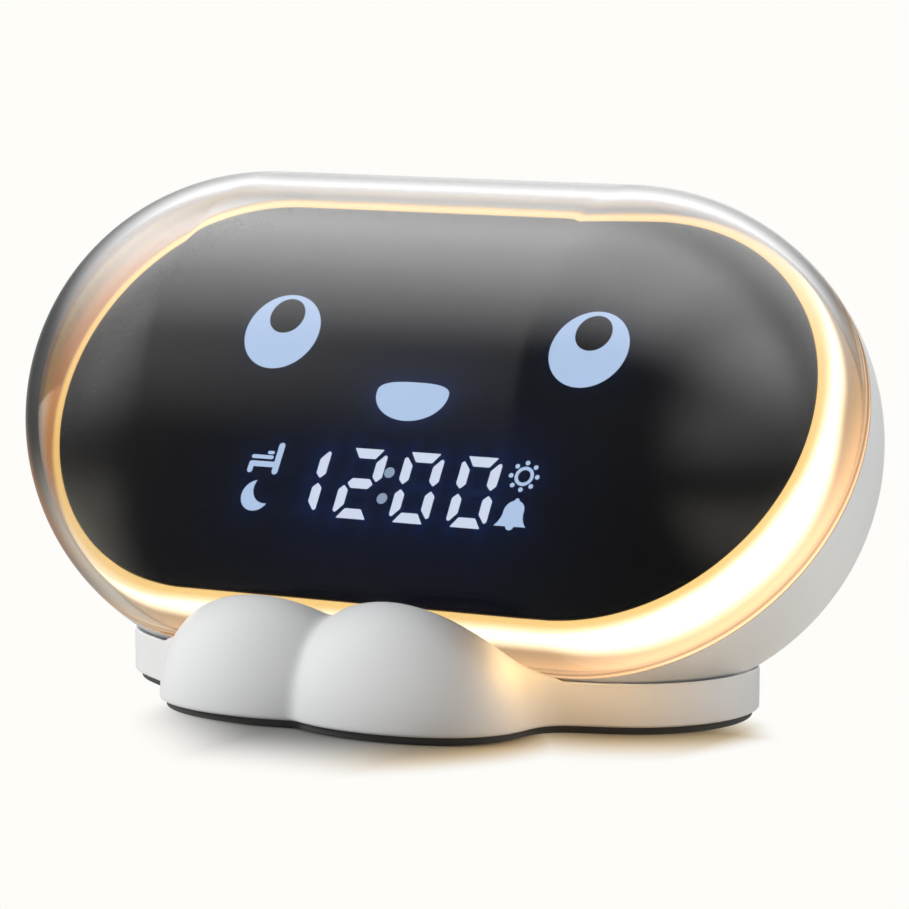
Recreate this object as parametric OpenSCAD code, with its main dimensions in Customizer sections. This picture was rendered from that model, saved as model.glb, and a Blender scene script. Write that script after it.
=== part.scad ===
// Bedside clock with a night light: a clear-fronted pill standing in a base with two paws.
// The pill's length runs along X, the face looks towards -Y and the sole lies on Z = 0.

/* [Body] */
// Overall length of the pill
body_length = 160; // [150:1:175]
// Radius of the pill
body_r = 44.5; // [43:0.5:47]
// Width of the flat foot that the pill stands on
foot_w = 30; // [24:1:34]
// How far the pill's axis lies behind the middle of the base
body_y = 2; // [0:0.5:3]
// Lean of the face from upright
tilt = 33.8; // [25:0.1:40]
// Where the cover meets the housing, behind the pill's axis
seam_y = 0.4; // [0:0.1:1]
// Wall of the clear cover
cover_wall = 2.2; // [1.6:0.1:2.6]
// Wall of the rear housing
housing_wall = 2.4; // [1.8:0.1:2.8]

/* [Face] */
// Distance of the black panel's edge inside the pill's widest outline
panel_inset = 6.3; // [5.2:0.1:7]
// Depth of the panel's front edge ahead of the seam
panel_depth = 11.8; // [10.5:0.1:13]
// Thickness of the panel at its edge
panel_t = 2; // [1.6:0.1:2.4]
// How much the panel bulges in the middle
panel_crown = 1.2; // [0.4:0.1:2]
// Diameter of each eye
eye_d = 15; // [12:0.5:16]
// Distance between the eyes
eye_pitch = 61; // [54:0.5:64]
// Height of the eyes above the middle of the face
eye_z = 11.3; // [10:0.1:13]
// Diameter of each pupil
pupil_d = 7; // [5:0.5:8]
// Rise of the pupil in the eye
pupil_rise = 3.2; // [1:0.1:3.4]
// Width of the mouth
mouth_w = 14.3; // [11:0.1:16]
// Height of the mouth's upper edge above its corners
mouth_top = 2.3; // [1.5:0.1:3]
// Depth of the mouth below its corners
mouth_drop = 5.2; // [3:0.1:6]
// Height of the mouth's corners above the middle of the face
mouth_z = 0.5; // [0:0.1:2]

/* [Display] */
// Height of the digits
digit_h = 13.2; // [12:0.1:14]
// Width of the digits
digit_w = 7.8; // [7:0.1:8.4]
// Distance between the digits
digit_pitch = 11.25; // [10.6:0.05:11.6]
// Width of a segment
segment_t = 1.85; // [1.4:0.05:2.1]
// Height of the middle of the display, below the middle of the face
display_z = -17.1; // [-18.5:0.1:-16.6]
// Diameter of the colon's dots
colon_d = 2; // [1.4:0.1:2.4]
// Distance between the colon's dots
colon_pitch = 4.9; // [4:0.1:6]
// Distance of the icons from the middle of the display
icon_x = 25.4; // [25:0.1:27]
// Gap round each lens in its window
window_gap = 0.08; // [0.05:0.01:0.15]

/* [Night light] */
// Thickness of the ring's lip round the panel
ring_lip = 0.8; // [0.6:0.1:1.2]
// Gap between the ring and the clear cover
ring_gap = 0.5; // [0.4:0.1:0.9]
// Lamps along each straight side
lamps_side = 8; // [4:1:10]
// Lamps round each end
lamps_end = 9; // [5:1:11]

/* [Controls] */
// Angle of the control panel above level, at the back
control_angle = 18; // [10:1:24]
// Diameter of each push button
button_d = 9; // [7:0.5:10]
// Distance between the buttons
button_pitch = 15; // [14:0.5:16]
// Travel of a button
button_travel = 0.6; // [0.4:0.1:0.8]
// Gap between moving and fixed pieces
running_gap = 0.3; // [0.25:0.05:0.4]
// Sideways place of the charging port
port_x = -24; // [-27:1:-15]
// Sideways place of the speaker
speaker_x = 22; // [18:1:26]
// Diameter of the speaker
speaker_d = 28; // [24:1:30]
// Angle of the speaker below level, at the back
speaker_angle = 42; // [40:1:46]

/* [Base] */
// Half length of the base's straight sides
base_straight = 38.5; // [34:0.5:42]
// Radius of the base's round ends
base_r = 21.6; // [20:0.1:24]
// Height of the base's rim above the table
rim_z = 8.9; // [8:0.1:10]
// Height of the flat seat that the pill stands on
seat_z = 4.6; // [4.2:0.1:5]
// Thickness of the rubber sole
sole_t = 1.4; // [1:0.1:1.8]
// How far the sole lies inside the base's edge
sole_inset = 1.2; // [0.6:0.1:2]
// Radius of each paw
paw_r = 23.2; // [21:0.1:25]
// Height of the straight wall under each paw's dome
paw_wall_h = 1.3; // [0.5:0.1:3]
// Distance between the paws
paw_pitch = 25.6; // [22:0.1:30]
// Sideways place of the pair of paws
paw_x = -3.3; // [-6:0.1:2]
// How far the paws' centres lie ahead of the middle of the base
paw_ahead = 23; // [20:0.5:26]
// Wall of the base and its paws
base_wall = 2.4; // [1.8:0.1:3]

/* [Hidden] */
$fn = 96;
eps = 0.01;
big = 2 * body_length;
half_c = body_length / 2 - body_r;
body_z = seat_z + sqrt(pow(body_r, 2) - pow(foot_w / 2, 2));

// Depths behind the pill's axis, measured along the face's own axis
panel_r = body_r - panel_inset;
panel_front = seam_y - panel_depth;
panel_back = panel_front + panel_t;
panel_bevel = 0.4;
lens_fit = 0.1;
chassis_r = panel_r - 1.8;
chassis_wall = 2;
floor_t = 2;
floor_front = seam_y - 1.6;
floor_back = floor_front + floor_t;
ring_r = body_r - cover_wall - ring_gap;
ring_wall = 0.9;
flange_r = ring_r - ring_wall;
ledge_w = 2.4;
ledge_t = 2;
board_t = 1.6;
ring_board_t = 1;
board_pad = 0.8;
board_back = floor_front - board_pad;
board_front = board_back - board_t;
display_straight = 16;
display_r = chassis_r - chassis_wall - 1;
led_side = 1.2;
led_h = 0.9;
well_shoulder = 0.18;

// Lamps behind the glowing ring
lamp_size = [3, 2, 1.2];
lamp_groove = 2.8;
lamp_room = 0.8;
ring_step = 0.3;
ring_shoulder = 1.2;
skirt_end = seam_y - 0.1;

// Cuts at the ends of the segments
bar_end = 1;
side_tip = 0.45;
side_slant = 0.7;
middle_end = 1.4;
middle_slant = 0.8;

// Icons, measured from each icon's own middle
bed_rise = 3.5;
bed_head = [2.35, 2.45];
bed_post_r = 0.6;
bed_frame = [-2.75, -1.2];
bed_rail_r = 0.52;
bed_mattress = [0.95, 0.15];
bed_sheet_r = 0.36;
bed_pillow = [0.2, 1.05];
bed_pillow_r = 0.3;
moon_drop = 3.7;
moon_r = 2.9;
moon_bite = [2.1, 1.55];
moon_bite_r = 2.95;
sun_rise = 3.6;
sun_r = 1.8;
sun_line = 0.62;
sun_ray_at = 2.5;
sun_ray_r = 0.43;
bell_drop = 3.7;
bell_r = 1.8;
bell_shoulder = 0.95;
bell_side = 2.95;
bell_mouth_r = 2.9;
bell_knob_r = 0.42;
bell_clapper_r = 0.68;

// Screws
screw_r = 1.25;
screw_head_r = 2.4;
screw_head_h = 1.5;
screw_fit = 0.05;
boss_r = 3.3;
screw_edge = 3.5;
chassis_screw_rise = 14;
base_screw_x = 39.5;
base_screw_y = 8;
display_screw_at = [
    for (side = [-1, 1])
        for (p = [[12, display_r - screw_edge - boss_r], [display_r + 4.8, -display_r / 2]])
            [side * p[0], p[1]]
];
chassis_screw_at = [
    for (side = [-1, 1]) for (rise = [-1, 1])
        [side * (half_c + body_r / 2), rise * chassis_screw_rise]
];
base_screw_at = [
    for (side = [-1, 1]) for (k = [-1, 1]) [side * base_screw_x, k * base_screw_y]
];
chassis_screw_l = 10;
control_screw_l = 7;
display_screw_l = 6;
base_screw_l = 8;

// Control panel at the back, measured outwards from the pill's axis
board_half = 42;
board_low = -18;
board_high = 14;
pocket_depth = 1.3;
pocket_d = body_r - pocket_depth;
pad_t = 2.4;
pad_d = pocket_d - pad_t;
pocket_margin = 2.7;
pocket_r = button_d / 2 + pocket_margin;
button_top = body_r + 0.5;
button_flange_r = button_d / 2 + 1.5;
button_flange_t = 1;
button_stem_r = 1.6;
button_crown = 0.6;
button_edge = 0.8;
flange_top = pad_d - running_gap;
flange_low = flange_top - button_flange_t;
switch_size = 6;
switch_h = 3.6;
switch_room = 2.7;
switch_floor = 0.6;
switch_top = flange_low - button_travel - switch_room;
stem_end = switch_top - switch_h + switch_floor + button_travel + 0.6;
board_d = switch_top - switch_h - board_t;
port_t = -13;
port_size = [9, 3.3];
port_wall = 0.35;
port_fit = 0.25;
port_l = 8.4;
port_low = 3;
control_screw_at = [
    for (side = [-1, 1]) for (t = [board_low + screw_edge, board_high - screw_edge])
        [side * (board_half - screw_edge), t]
];
// Chips on the board's inner side: place along X, place up the board, width, height, thickness
chips = [[14, -6, 10, 10, 1.2], [-16, -5, 8, 6, 1.2], [27, -9, 3.2, 8, 2], [-29, 1, 7, 7, 3.5]];
socket_t = 2.4;

// Speaker, measured outwards from the pill's axis
speaker_sink = 6.5;
speaker_front = body_r - speaker_sink;
speaker_depth = 8;
speaker_rim = 1.6;
speaker_lip = 1.4;
gasket_t = 0.8;
gasket_w = 2.6;
grille_pitch = 3.8;
grille_hole_r = 1.1;
grille_rings = 2;

// Battery on the housing's floor
battery_r = 9.15;
battery_l = 65;
battery_cap_l = 0.7;
battery_inset = 38;
battery_back = body_r - battery_inset;
holder_wall = 1.6;
holder_room = 1;
housing_floor = 2.6;
battery_z = seat_z + housing_floor + holder_wall + battery_r + lens_fit;

// Ribbon cable
ribbon_w = 12;
ribbon_t = 0.4;
ribbon_z = 12;
ribbon_high = 4;
ribbon_slack = 9.5;
connector_size = [16, 5];
connector_t = 2.4;
connector_back = floor_back + connector_t;
ribbon_steps = 20;

paw_gap = 0.4;
mouth_x = -0.4;
mouth_corner = 2.8;
colon_x = -0.3;
mouth_steps = 48;
crown_steps = 8;
bow_steps = 8;

// ---- Frames ----

// The pill's axis, level with the table
module in_body() {
    translate([0, body_y, body_z]) children();
}

// The face's own frame: +Y runs back into the clock, +Z up the face
module in_face() {
    in_body() rotate([-tilt, 0, 0]) children();
}

// A frame at the back whose +Y points outwards, `angle` above level
module in_back(angle) {
    in_body() rotate([angle, 0, 0]) children();
}

function from_face(y, z) = [y * cos(tilt) + z * sin(tilt), z * cos(tilt) - y * sin(tilt)];
function from_back(d, t) = [
    d * cos(control_angle) - t * sin(control_angle),
    d * sin(control_angle) + t * cos(control_angle)
];

// ---- Building blocks ----

// A cylinder with round ends along X, turned from half of its own outline
module capsule(r) {
    rotate([0, 90, 0]) rotate_extrude() intersection() {
        rotate(90) stadium(half_c, r);
        translate([0, -big / 2]) square(big);
    }
}

module ahead_of(y) {
    translate([-big / 2, y - big, -big / 2]) cube(big);
}

module behind(y) {
    translate([-big / 2, y, -big / 2]) cube(big);
}

// Flat outline with two straight sides and two round ends
module stadium(straight, r) {
    square([2 * straight, 2 * r], center = true);
    for (side = [-1, 1]) translate([side * straight, 0]) circle(r);
}

// A plate parallel to the face, between two depths
module face_plate(front, back) {
    translate([0, back, 0]) rotate([90, 0, 0]) linear_extrude(back - front) children();
}

// A profile of (radius, depth) carried round the pill's outline
module around_pill() {
    for (side = [-1, 1])
        translate([side * half_c, 0, 0])
            rotate([-90, 0, 0])
                rotate([0, 0, -90 * side])
                    rotate_extrude(angle = 180) children();
    for (side = [0, 1])
        mirror([0, 0, side])
            rotate([0, -90, 0]) linear_extrude(2 * half_c, center = true) children();
}

// A screw with its head's underside at the origin and its shaft along +Y
module screw(length) {
    rotate([-90, 0, 0]) cylinder(r = screw_r, h = length);
    rotate([90, 0, 0]) cylinder(r = screw_head_r, h = screw_head_h);
}

module rod_y(r, y1, y2) {
    translate([0, y1, 0]) rotate([-90, 0, 0]) cylinder(r = r, h = y2 - y1);
}

// ---- Flat shapes on the face; `grow` widens a shape for its window ----

// A straight stroke with round ends
module stroke(p, q, r) {
    run = norm(q - p);
    translate(p) rotate(atan2(q[1] - p[1], q[0] - p[0])) translate([0, -r]) square([run, 2 * r]);
    translate(p) circle(r);
    translate(q) circle(r);
}

// One end bar of a digit, at the top
module bar_segment(grow) {
    outer = digit_w / 2 - bar_end + grow;
    inner = digit_w / 2 - segment_t - side_tip + grow;
    top = digit_h / 2 + grow;
    low = digit_h / 2 - segment_t - grow;
    polygon([[-outer, top], [outer, top], [inner, low], [-inner, low]]);
}

// One upright of a digit, upper right
module side_segment(grow) {
    outer = digit_w / 2 + grow;
    inner = digit_w / 2 - segment_t - grow;
    tip = digit_w / 2 - segment_t / 2;
    top = digit_h / 2;
    low = side_tip + segment_t / 2;
    polygon([
        [outer, top - bar_end - 0.25 + grow / 2], [outer - 0.5, top - bar_end + grow],
        [inner, top - segment_t - side_slant + grow],
        [inner, low], [tip, side_tip - grow], [outer, low]
    ]);
}

// The middle bar of a digit
module middle_segment(grow) {
    half = digit_w / 2 - middle_end + grow;
    flat = half - middle_slant;
    thick = segment_t / 2 + grow;
    polygon([
        [-half, 0], [-flat, thick], [flat, thick], [half, 0], [flat, -thick], [-flat, -thick]
    ]);
}

// Seven segments, clockwise from the top, the middle one last
module segments(grow = 0) {
    bar_segment(grow);
    side_segment(grow);
    mirror([0, 1]) side_segment(grow);
    mirror([0, 1]) bar_segment(grow);
    rotate(180) side_segment(grow);
    mirror([1, 0]) side_segment(grow);
    middle_segment(grow);
}

function digit_x(i) = (i - 2.5) * digit_pitch + digit_pitch * 0.02;
segment_centres = [
    [0, digit_h / 2 - segment_t / 2], [digit_w / 2 - segment_t / 2, digit_h / 4],
    [digit_w / 2 - segment_t / 2, -digit_h / 4], [0, segment_t / 2 - digit_h / 2],
    [segment_t / 2 - digit_w / 2, -digit_h / 4], [segment_t / 2 - digit_w / 2, digit_h / 4],
    [0, 0]
];

module digit_outline(i, grow = 0) {
    translate([digit_x(i), display_z]) segments(grow);
}

module colon_outline(grow = 0) {
    for (side = [-1, 1])
        translate([colon_x, display_z + side * colon_pitch / 2]) circle(colon_d / 2 + grow);
}

// A bed seen from the side
module bed_outline(grow = 0) {
    foot = bed_frame[0];
    translate([-icon_x, display_z + bed_rise]) {
        stroke(bed_head, [bed_head[0], -bed_head[1]], bed_post_r + grow);
        stroke(bed_frame, [bed_head[0], bed_frame[1]], bed_rail_r + grow);
        stroke(bed_frame, [foot, -bed_head[1]], bed_rail_r + grow);
        stroke([foot, bed_mattress[1]], bed_mattress, bed_sheet_r + grow);
        stroke(bed_pillow, [bed_mattress[0], bed_pillow[1]], bed_pillow_r + grow);
    }
}

// A waning moon
module moon_outline(grow = 0) {
    translate([-icon_x, display_z - moon_drop]) difference() {
        circle(moon_r + grow);
        translate(moon_bite) circle(moon_bite_r - grow);
    }
}

// A disc with eight dots round it
module sun_outline(grow = 0) {
    translate([icon_x, display_z + sun_rise]) {
        circle(sun_r + grow);
        for (i = [0:7]) rotate(45 * i) translate([sun_ray_at, 0]) circle(sun_ray_r + grow);
    }
}

module sun_middle(grow = 0) {
    translate([icon_x, display_z + sun_rise]) circle(sun_r - sun_line + grow);
}

// A bell with its clapper
module bell_outline(grow = 0) {
    flare = [
        for (i = [0:8])
            let (u = i / 8)
            [bell_r + (bell_mouth_r - bell_r) * pow(u, 2.6), bell_shoulder - bell_side * u]
    ];
    translate([icon_x, display_z - bell_drop]) {
        translate([0, bell_shoulder]) circle(bell_r + grow);
        translate([0, bell_shoulder + bell_r]) circle(bell_knob_r + grow);
        translate([0, bell_shoulder - bell_side]) circle(bell_clapper_r + grow);
        polygon(concat(
            [for (p = flare) [p[0] + grow, p[1] - grow]],
            [for (i = [8:-1:0]) [-flare[i][0] - grow, flare[i][1] - grow]]
        ));
    }
}

module eye_outline(side, grow = 0) {
    translate([side * eye_pitch / 2, eye_z]) circle(eye_d / 2 + grow);
}

module pupil_outline(side, grow = 0) {
    translate([side * eye_pitch / 2, eye_z + pupil_rise]) circle(pupil_d / 2 + grow);
}

// A half moon: an elliptical bowl under a flatter lid
module mouth_outline(grow = 0) {
    translate([mouth_x, mouth_z])
        polygon([
            for (i = [0:mouth_steps - 1])
                let (
                    a = 360 * i / mouth_steps,
                    n = sin(a) > 0 ? 2 / mouth_corner : 1,
                    h = sin(a) > 0 ? mouth_top : mouth_drop
                )
                [
                    (mouth_w / 2 + grow) * sign(cos(a)) * pow(abs(cos(a)), n),
                    (h + grow) * sign(sin(a)) * pow(abs(sin(a)), n)
                ]
        ]);
}

// Every lit shape of the face at once
module all_outlines(grow) {
    for (side = [-1, 1]) eye_outline(side, grow);
    mouth_outline(grow);
    for (i = [1:4]) digit_outline(i, grow);
    colon_outline(grow);
    bed_outline(grow);
    moon_outline(grow);
    sun_outline(grow);
    bell_outline(grow);
}

// ---- Face ----

// The panel's whole solid, gently crowned towards the front
module face_blank() {
    rim = [[0, panel_back], [panel_r, panel_back], [panel_r, panel_front + panel_bevel]];
    crown = [
        for (i = [0:crown_steps])
            let (r = (panel_r - panel_bevel) * (1 - i / crown_steps))
            [r, panel_front - panel_crown * (1 - pow(r / panel_r, 2))]
    ];
    around_pill() polygon(concat(rim, crown));
}

module face_panel() {
    color([0.06, 0.06, 0.07]) in_face() difference() {
        face_blank();
        face_plate(panel_front - 2 * panel_crown - 1, panel_back + 1) all_outlines(window_gap);
    }
}

// A lens that fills its window and ends flush with the crowned front
module lens() {
    in_face() intersection() {
        face_blank();
        face_plate(panel_front - 2 * panel_crown - 1, panel_back) children();
    }
}

module eye(side) {
    color([0.73, 0.83, 0.97]) lens() difference() {
        eye_outline(side);
        pupil_outline(side, window_gap);
    }
}

// Dark caps: the two pupils and the middle of the sun
module dark_caps() {
    color([0.07, 0.07, 0.08]) lens() {
        for (side = [-1, 1]) pupil_outline(side);
        sun_middle();
    }
}

module mouth() {
    color([0.73, 0.83, 0.97]) lens() mouth_outline();
}

module digit(i) {
    color([0.85, 0.89, 0.99]) lens() digit_outline(i);
}

module colon_dots() {
    color([0.73, 0.83, 0.97]) lens() colon_outline();
}

module bed_icon() {
    color([0.73, 0.83, 0.97]) lens() bed_outline();
}

module moon_icon() {
    color([0.73, 0.83, 0.97]) lens() moon_outline();
}

module sun_icon() {
    color([0.73, 0.83, 0.97]) lens() difference() {
        sun_outline();
        sun_middle(window_gap);
    }
}

module bell_icon() {
    color([0.73, 0.83, 0.97]) lens() bell_outline();
}

// White block whose wells keep the light of one lens from its neighbours
module reflector() {
    color([0.92, 0.92, 0.9]) in_face() difference() {
        face_plate(panel_back, board_front) stadium(display_straight, display_r);
        face_plate(panel_back - 1, board_front + 1) all_outlines(-well_shoulder);
        led_blocks(led_side + 2 * lens_fit, led_h + lens_fit);
        for (p = display_screw_at)
            translate([p[0], 0, p[1]])
                rod_y(screw_r + screw_fit, panel_back + 1, board_front + 1);
    }
}

module display_board() {
    color([0.05, 0.3, 0.16]) in_face() difference() {
        face_plate(board_front, board_back) stadium(display_straight, display_r);
        for (p = display_screw_at)
            translate([p[0], 0, p[1]]) rod_y(screw_r + lens_fit, board_front - 1, board_back + 1);
    }
}

// One lamp chip under every segment, dot, icon and feature
led_spots = concat(
    [for (i = [1:4]) for (c = segment_centres) [digit_x(i) + c[0], display_z + c[1]]],
    [for (side = [-1, 1]) [0, display_z + side * colon_pitch / 2]],
    [
        [-icon_x + bed_head[0], display_z + bed_rise + bed_mattress[1]],
        [-icon_x - moon_r / 2, display_z - moon_drop - led_side], [icon_x, display_z - bell_drop]
    ],
    [
        for (side = [-1, 1]) for (k = [-1, 1])
            [side * eye_pitch / 2 + k * eye_d / 4, eye_z - pupil_rise]
    ],
    [for (k = [-1, 1]) [k * mouth_w / 6, mouth_z - mouth_drop / 4]]
);

module led_blocks(side, height) {
    for (p = led_spots)
        translate([p[0] - side / 2, board_front - height, p[1] - side / 2])
            cube([side, height, side]);
}

module display_leds() {
    color([0.95, 0.9, 0.6]) in_face() led_blocks(led_side, led_h);
}

module display_screws() {
    color([0.6, 0.6, 0.62]) in_face() for (p = display_screw_at)
        translate([p[0], floor_back, p[1]]) mirror([0, 1, 0]) screw(display_screw_l);
}

module display_connector() {
    color([0.9, 0.88, 0.8]) in_face()
        translate([-connector_size[0] / 2, board_back, ribbon_z - connector_size[1] / 2])
            cube([connector_size[0], connector_back - board_back, connector_size[1]]);
}

// ---- Frame and night light ----

// Tray that carries the panel, the display and the ring of lamps
module chassis() {
    color([0.86, 0.86, 0.84]) in_face() difference() {
        union() {
            around_pill() polygon([
                [0, floor_back], [0, floor_front], [chassis_r - chassis_wall, floor_front],
                [chassis_r - chassis_wall, panel_back], [chassis_r, panel_back],
                [chassis_r, floor_front], [flange_r, floor_front], [flange_r, floor_back]
            ]);
            for (p = display_screw_at)
                translate([p[0], 0, p[1]]) rod_y(boss_r, board_back, floor_front + eps);
        }
        for (p = display_screw_at)
            translate([p[0], 0, p[1]]) rod_y(screw_r + lens_fit, board_back - 1, floor_back + 1);
        for (p = chassis_screw_at)
            translate([p[0], 0, p[1]]) rod_y(screw_r + lens_fit, floor_front - 1, floor_back + 1);
        translate([
            -connector_size[0] / 2 - 1, floor_front - 1, ribbon_z - connector_size[1] / 2 - 1
        ])
            cube([connector_size[0] + 2, floor_t + 2, connector_size[1] + 2]);
    }
}

module chassis_screws() {
    color([0.6, 0.6, 0.62]) in_face() for (p = chassis_screw_at)
        translate([p[0], floor_front, p[1]]) screw(chassis_screw_l);
}

// Milky channel that spreads the lamps' light: a lip round the panel, a bow and a skirt to the seam
module light_ring() {
    foot = floor_front - ring_board_t;
    groove_top = foot - lamp_size[2] - lamp_room;
    groove_out = flange_r + lens_fit;
    groove_in = flange_r - lamp_groove;
    lip_r = panel_r + lens_fit;
    lip_front = panel_front + ring_step;
    start = panel_back + ring_shoulder;
    bow = [
        for (i = [0:bow_steps])
            let (y = start + (skirt_end - start) * i / bow_steps)
            [sqrt(ring_r * ring_r - y * y), y]
    ];
    color([1, 0.93, 0.78]) in_face() around_pill() polygon(concat(
        [[chassis_r + lens_fit, panel_back], [lip_r, panel_back]],
        [[lip_r, lip_front], [lip_r + ring_lip, lip_front]],
        bow,
        [[groove_out, skirt_end], [groove_out, groove_top]],
        [[groove_in, groove_top], [groove_in, foot]],
        [[chassis_r + lens_fit, foot]]
    ));
}

module ring_board() {
    foot = floor_front - ring_board_t;
    color([0.9, 0.9, 0.88]) in_face() around_pill() polygon([
        [chassis_r + lens_fit, foot], [flange_r, foot],
        [flange_r, floor_front], [chassis_r + lens_fit, floor_front]
    ]);
}

// Lamps evenly spaced along the sides and round the ends
module ring_leds() {
    lamp_r = flange_r - lamp_groove / 2;
    front = floor_front - ring_board_t - lamp_size[2];
    module lamp() translate([-lamp_size[0] / 2, front, -lamp_size[1] / 2])
        cube([lamp_size[0], lamp_size[2], lamp_size[1]]);
    color([1, 0.85, 0.5]) in_face() {
        for (side = [-1, 1]) for (i = [0:lamps_side - 1])
            translate([2 * half_c * ((i + 0.5) / lamps_side - 0.5), 0, side * lamp_r]) lamp();
        for (side = [-1, 1]) for (i = [0:lamps_end - 1])
            translate([side * half_c, 0, 0])
                rotate([0, side * (180 * (i + 0.5) / lamps_end), 0])
                    translate([0, 0, lamp_r]) lamp();
    }
}

// ---- Shells ----

// Clear moulded bubble, open at the seam
module front_cover() {
    color([0.85, 0.88, 0.9, 0.35]) in_face() difference() {
        intersection() {
            capsule(body_r);
            ahead_of(seam_y);
        }
        capsule(body_r - cover_wall);
    }
}

// Ledge, bosses, pads and floor that stand inside the rear housing
module housing_inside() {
    inner_r = body_r - housing_wall;
    in_face() {
        around_pill() polygon([
            [inner_r - ledge_w, floor_back], [body_r - 1, floor_back],
            [body_r - 1, floor_back + ledge_t + 1], [inner_r - ledge_w + 1, floor_back + ledge_t + 1],
            [inner_r - ledge_w, floor_back + ledge_t]
        ]);
        for (p = chassis_screw_at)
            translate([p[0], 0, p[1]]) rod_y(boss_r, floor_back, body_r);
    }
    in_back(control_angle) {
        translate([0, body_r, 0]) rotate([90, 0, 0])
            linear_extrude(body_r - pad_d) stadium(2 * button_pitch, pocket_r + 1.5);
        for (p = control_screw_at)
            translate([p[0], 0, p[1]]) rod_y(boss_r, board_d + board_t, body_r);
    }
    in_back(-speaker_angle)
        translate([speaker_x, 0, 0]) difference() {
            rod_y(speaker_d / 2, speaker_front + gasket_t, body_r);
            rod_y(speaker_d / 2 - gasket_w, speaker_front, body_r + 1);
        }
    translate([-big / 2, -big / 2, seat_z]) cube([big, big, housing_floor]);
    for (p = base_screw_at)
        translate([p[0], body_y + p[1], seat_z]) cylinder(r = boss_r, h = base_screw_l);
}

// White back half of the pill, with everything moulded into it
module rear_housing() {
    inner_r = body_r - housing_wall;
    color([0.91, 0.91, 0.91]) difference() {
        union() {
            in_face() difference() {
                intersection() {
                    capsule(body_r);
                    behind(seam_y);
                }
                capsule(inner_r);
            }
            intersection() {
                housing_inside();
                in_face() intersection() {
                    capsule(body_r - housing_wall / 2);
                    behind(floor_back);
                }
            }
        }
        translate([-big / 2, -big / 2, seat_z - big]) cube(big);
        in_back(control_angle) {
            translate([0, body_r + 2, 0]) rotate([90, 0, 0])
                linear_extrude(body_r + 2 - pocket_d) stadium(2 * button_pitch, pocket_r);
            for (i = [-2:2])
                translate([i * button_pitch, 0, 0])
                    rod_y(button_d / 2 + running_gap, pad_d - 1, body_r + 1);
            translate([port_x, body_r + 1, port_t]) rotate([90, 0, 0])
                linear_extrude(body_r - board_d - port_low)
                    stadium((port_size[0] - port_size[1]) / 2, port_size[1] / 2 + port_fit);
            for (p = control_screw_at)
                translate([p[0], 0, p[1]])
                    rod_y(screw_r + screw_fit, board_d, board_d + control_screw_l);
        }
        in_face() for (p = chassis_screw_at)
            translate([p[0], 0, p[1]])
                rod_y(screw_r + screw_fit, floor_back - 1, floor_front + chassis_screw_l + 0.5);
        in_back(-speaker_angle) translate([speaker_x, 0, 0]) speaker_holes();
        for (p = base_screw_at)
            translate([p[0], body_y + p[1], seat_z - 1])
                cylinder(r = screw_r + screw_fit, h = base_screw_l);
    }
}

// Holes on a hexagonal grid, in rings about the middle one
module speaker_holes() {
    for (i = [-grille_rings:grille_rings]) for (j = [-grille_rings:grille_rings])
        if (abs(i + j) <= grille_rings)
            translate([grille_pitch * (i + j / 2), 0, grille_pitch * j * sqrt(3) / 2])
                rod_y(grille_hole_r, speaker_front, body_r + 1);
}

// ---- Controls at the back ----

module control_board() {
    color([0.05, 0.3, 0.16]) in_back(control_angle) difference() {
        translate([-board_half, board_d, board_low])
            cube([2 * board_half, board_t, board_high - board_low]);
        for (p = control_screw_at)
            translate([p[0], 0, p[1]]) rod_y(screw_r + lens_fit, board_d - 1, board_d + board_t + 1);
    }
}

// Processor, memory, clock crystal, inductor and the ribbon's socket
module control_chips() {
    socket = [0, ribbon_high, connector_size[0], connector_size[1], socket_t];
    color([0.1, 0.1, 0.11]) in_back(control_angle) for (c = concat(chips, [socket]))
        translate([c[0] - c[2] / 2, board_d - c[4], c[1] - c[3] / 2])
            cube([c[2], c[4], c[3]]);
}

// Push switches, each with a well for its button's stem
module key_switches() {
    base = board_d + board_t;
    color([0.15, 0.15, 0.16]) in_back(control_angle) for (i = [-2:2])
        translate([i * button_pitch, 0, 0]) difference() {
            translate([-switch_size / 2, base, -switch_size / 2])
                cube([switch_size, switch_top - base, switch_size]);
            rod_y(button_stem_r + running_gap, base + switch_floor, switch_top + 1);
        }
}

module control_screws() {
    color([0.6, 0.6, 0.62]) in_back(control_angle) for (p = control_screw_at)
        translate([p[0], board_d, p[1]]) screw(control_screw_l);
}

// Flat oval socket for a charging lead
module charging_port() {
    base = board_d + board_t;
    straight = (port_size[0] - port_size[1]) / 2;
    color([0.75, 0.75, 0.77]) in_back(control_angle)
        translate([port_x, base + port_l, port_t]) rotate([90, 0, 0]) {
            difference() {
                linear_extrude(port_l) stadium(straight, port_size[1] / 2);
                translate([0, 0, -1])
                    linear_extrude(port_l) stadium(straight, port_size[1] / 2 - port_wall);
            }
            translate([-straight, -port_wall, 1]) cube([2 * straight, 2 * port_wall, port_l - 1.5]);
        }
}

// Round push button with a domed top, a flange under the pad and a stem for its switch
module button(i) {
    r = button_d / 2;
    dome = [
        for (k = [0:6])
            let (a = 15 * k)
            [
                r - button_edge + button_edge * cos(a),
                button_top - button_crown + button_crown * sin(a)
            ]
    ];
    color([0.88, 0.88, 0.88]) in_back(control_angle)
        translate([i * button_pitch, 0, 0]) rotate([-90, 0, 0]) rotate_extrude()
            polygon(concat(
                [[0, stem_end], [button_stem_r, stem_end]],
                [[button_stem_r, flange_low]],
                [[button_flange_r, flange_low], [button_flange_r, flange_top]],
                [[r, flange_top]],
                dome,
                [[0, button_top]]
            ));
}

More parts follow.
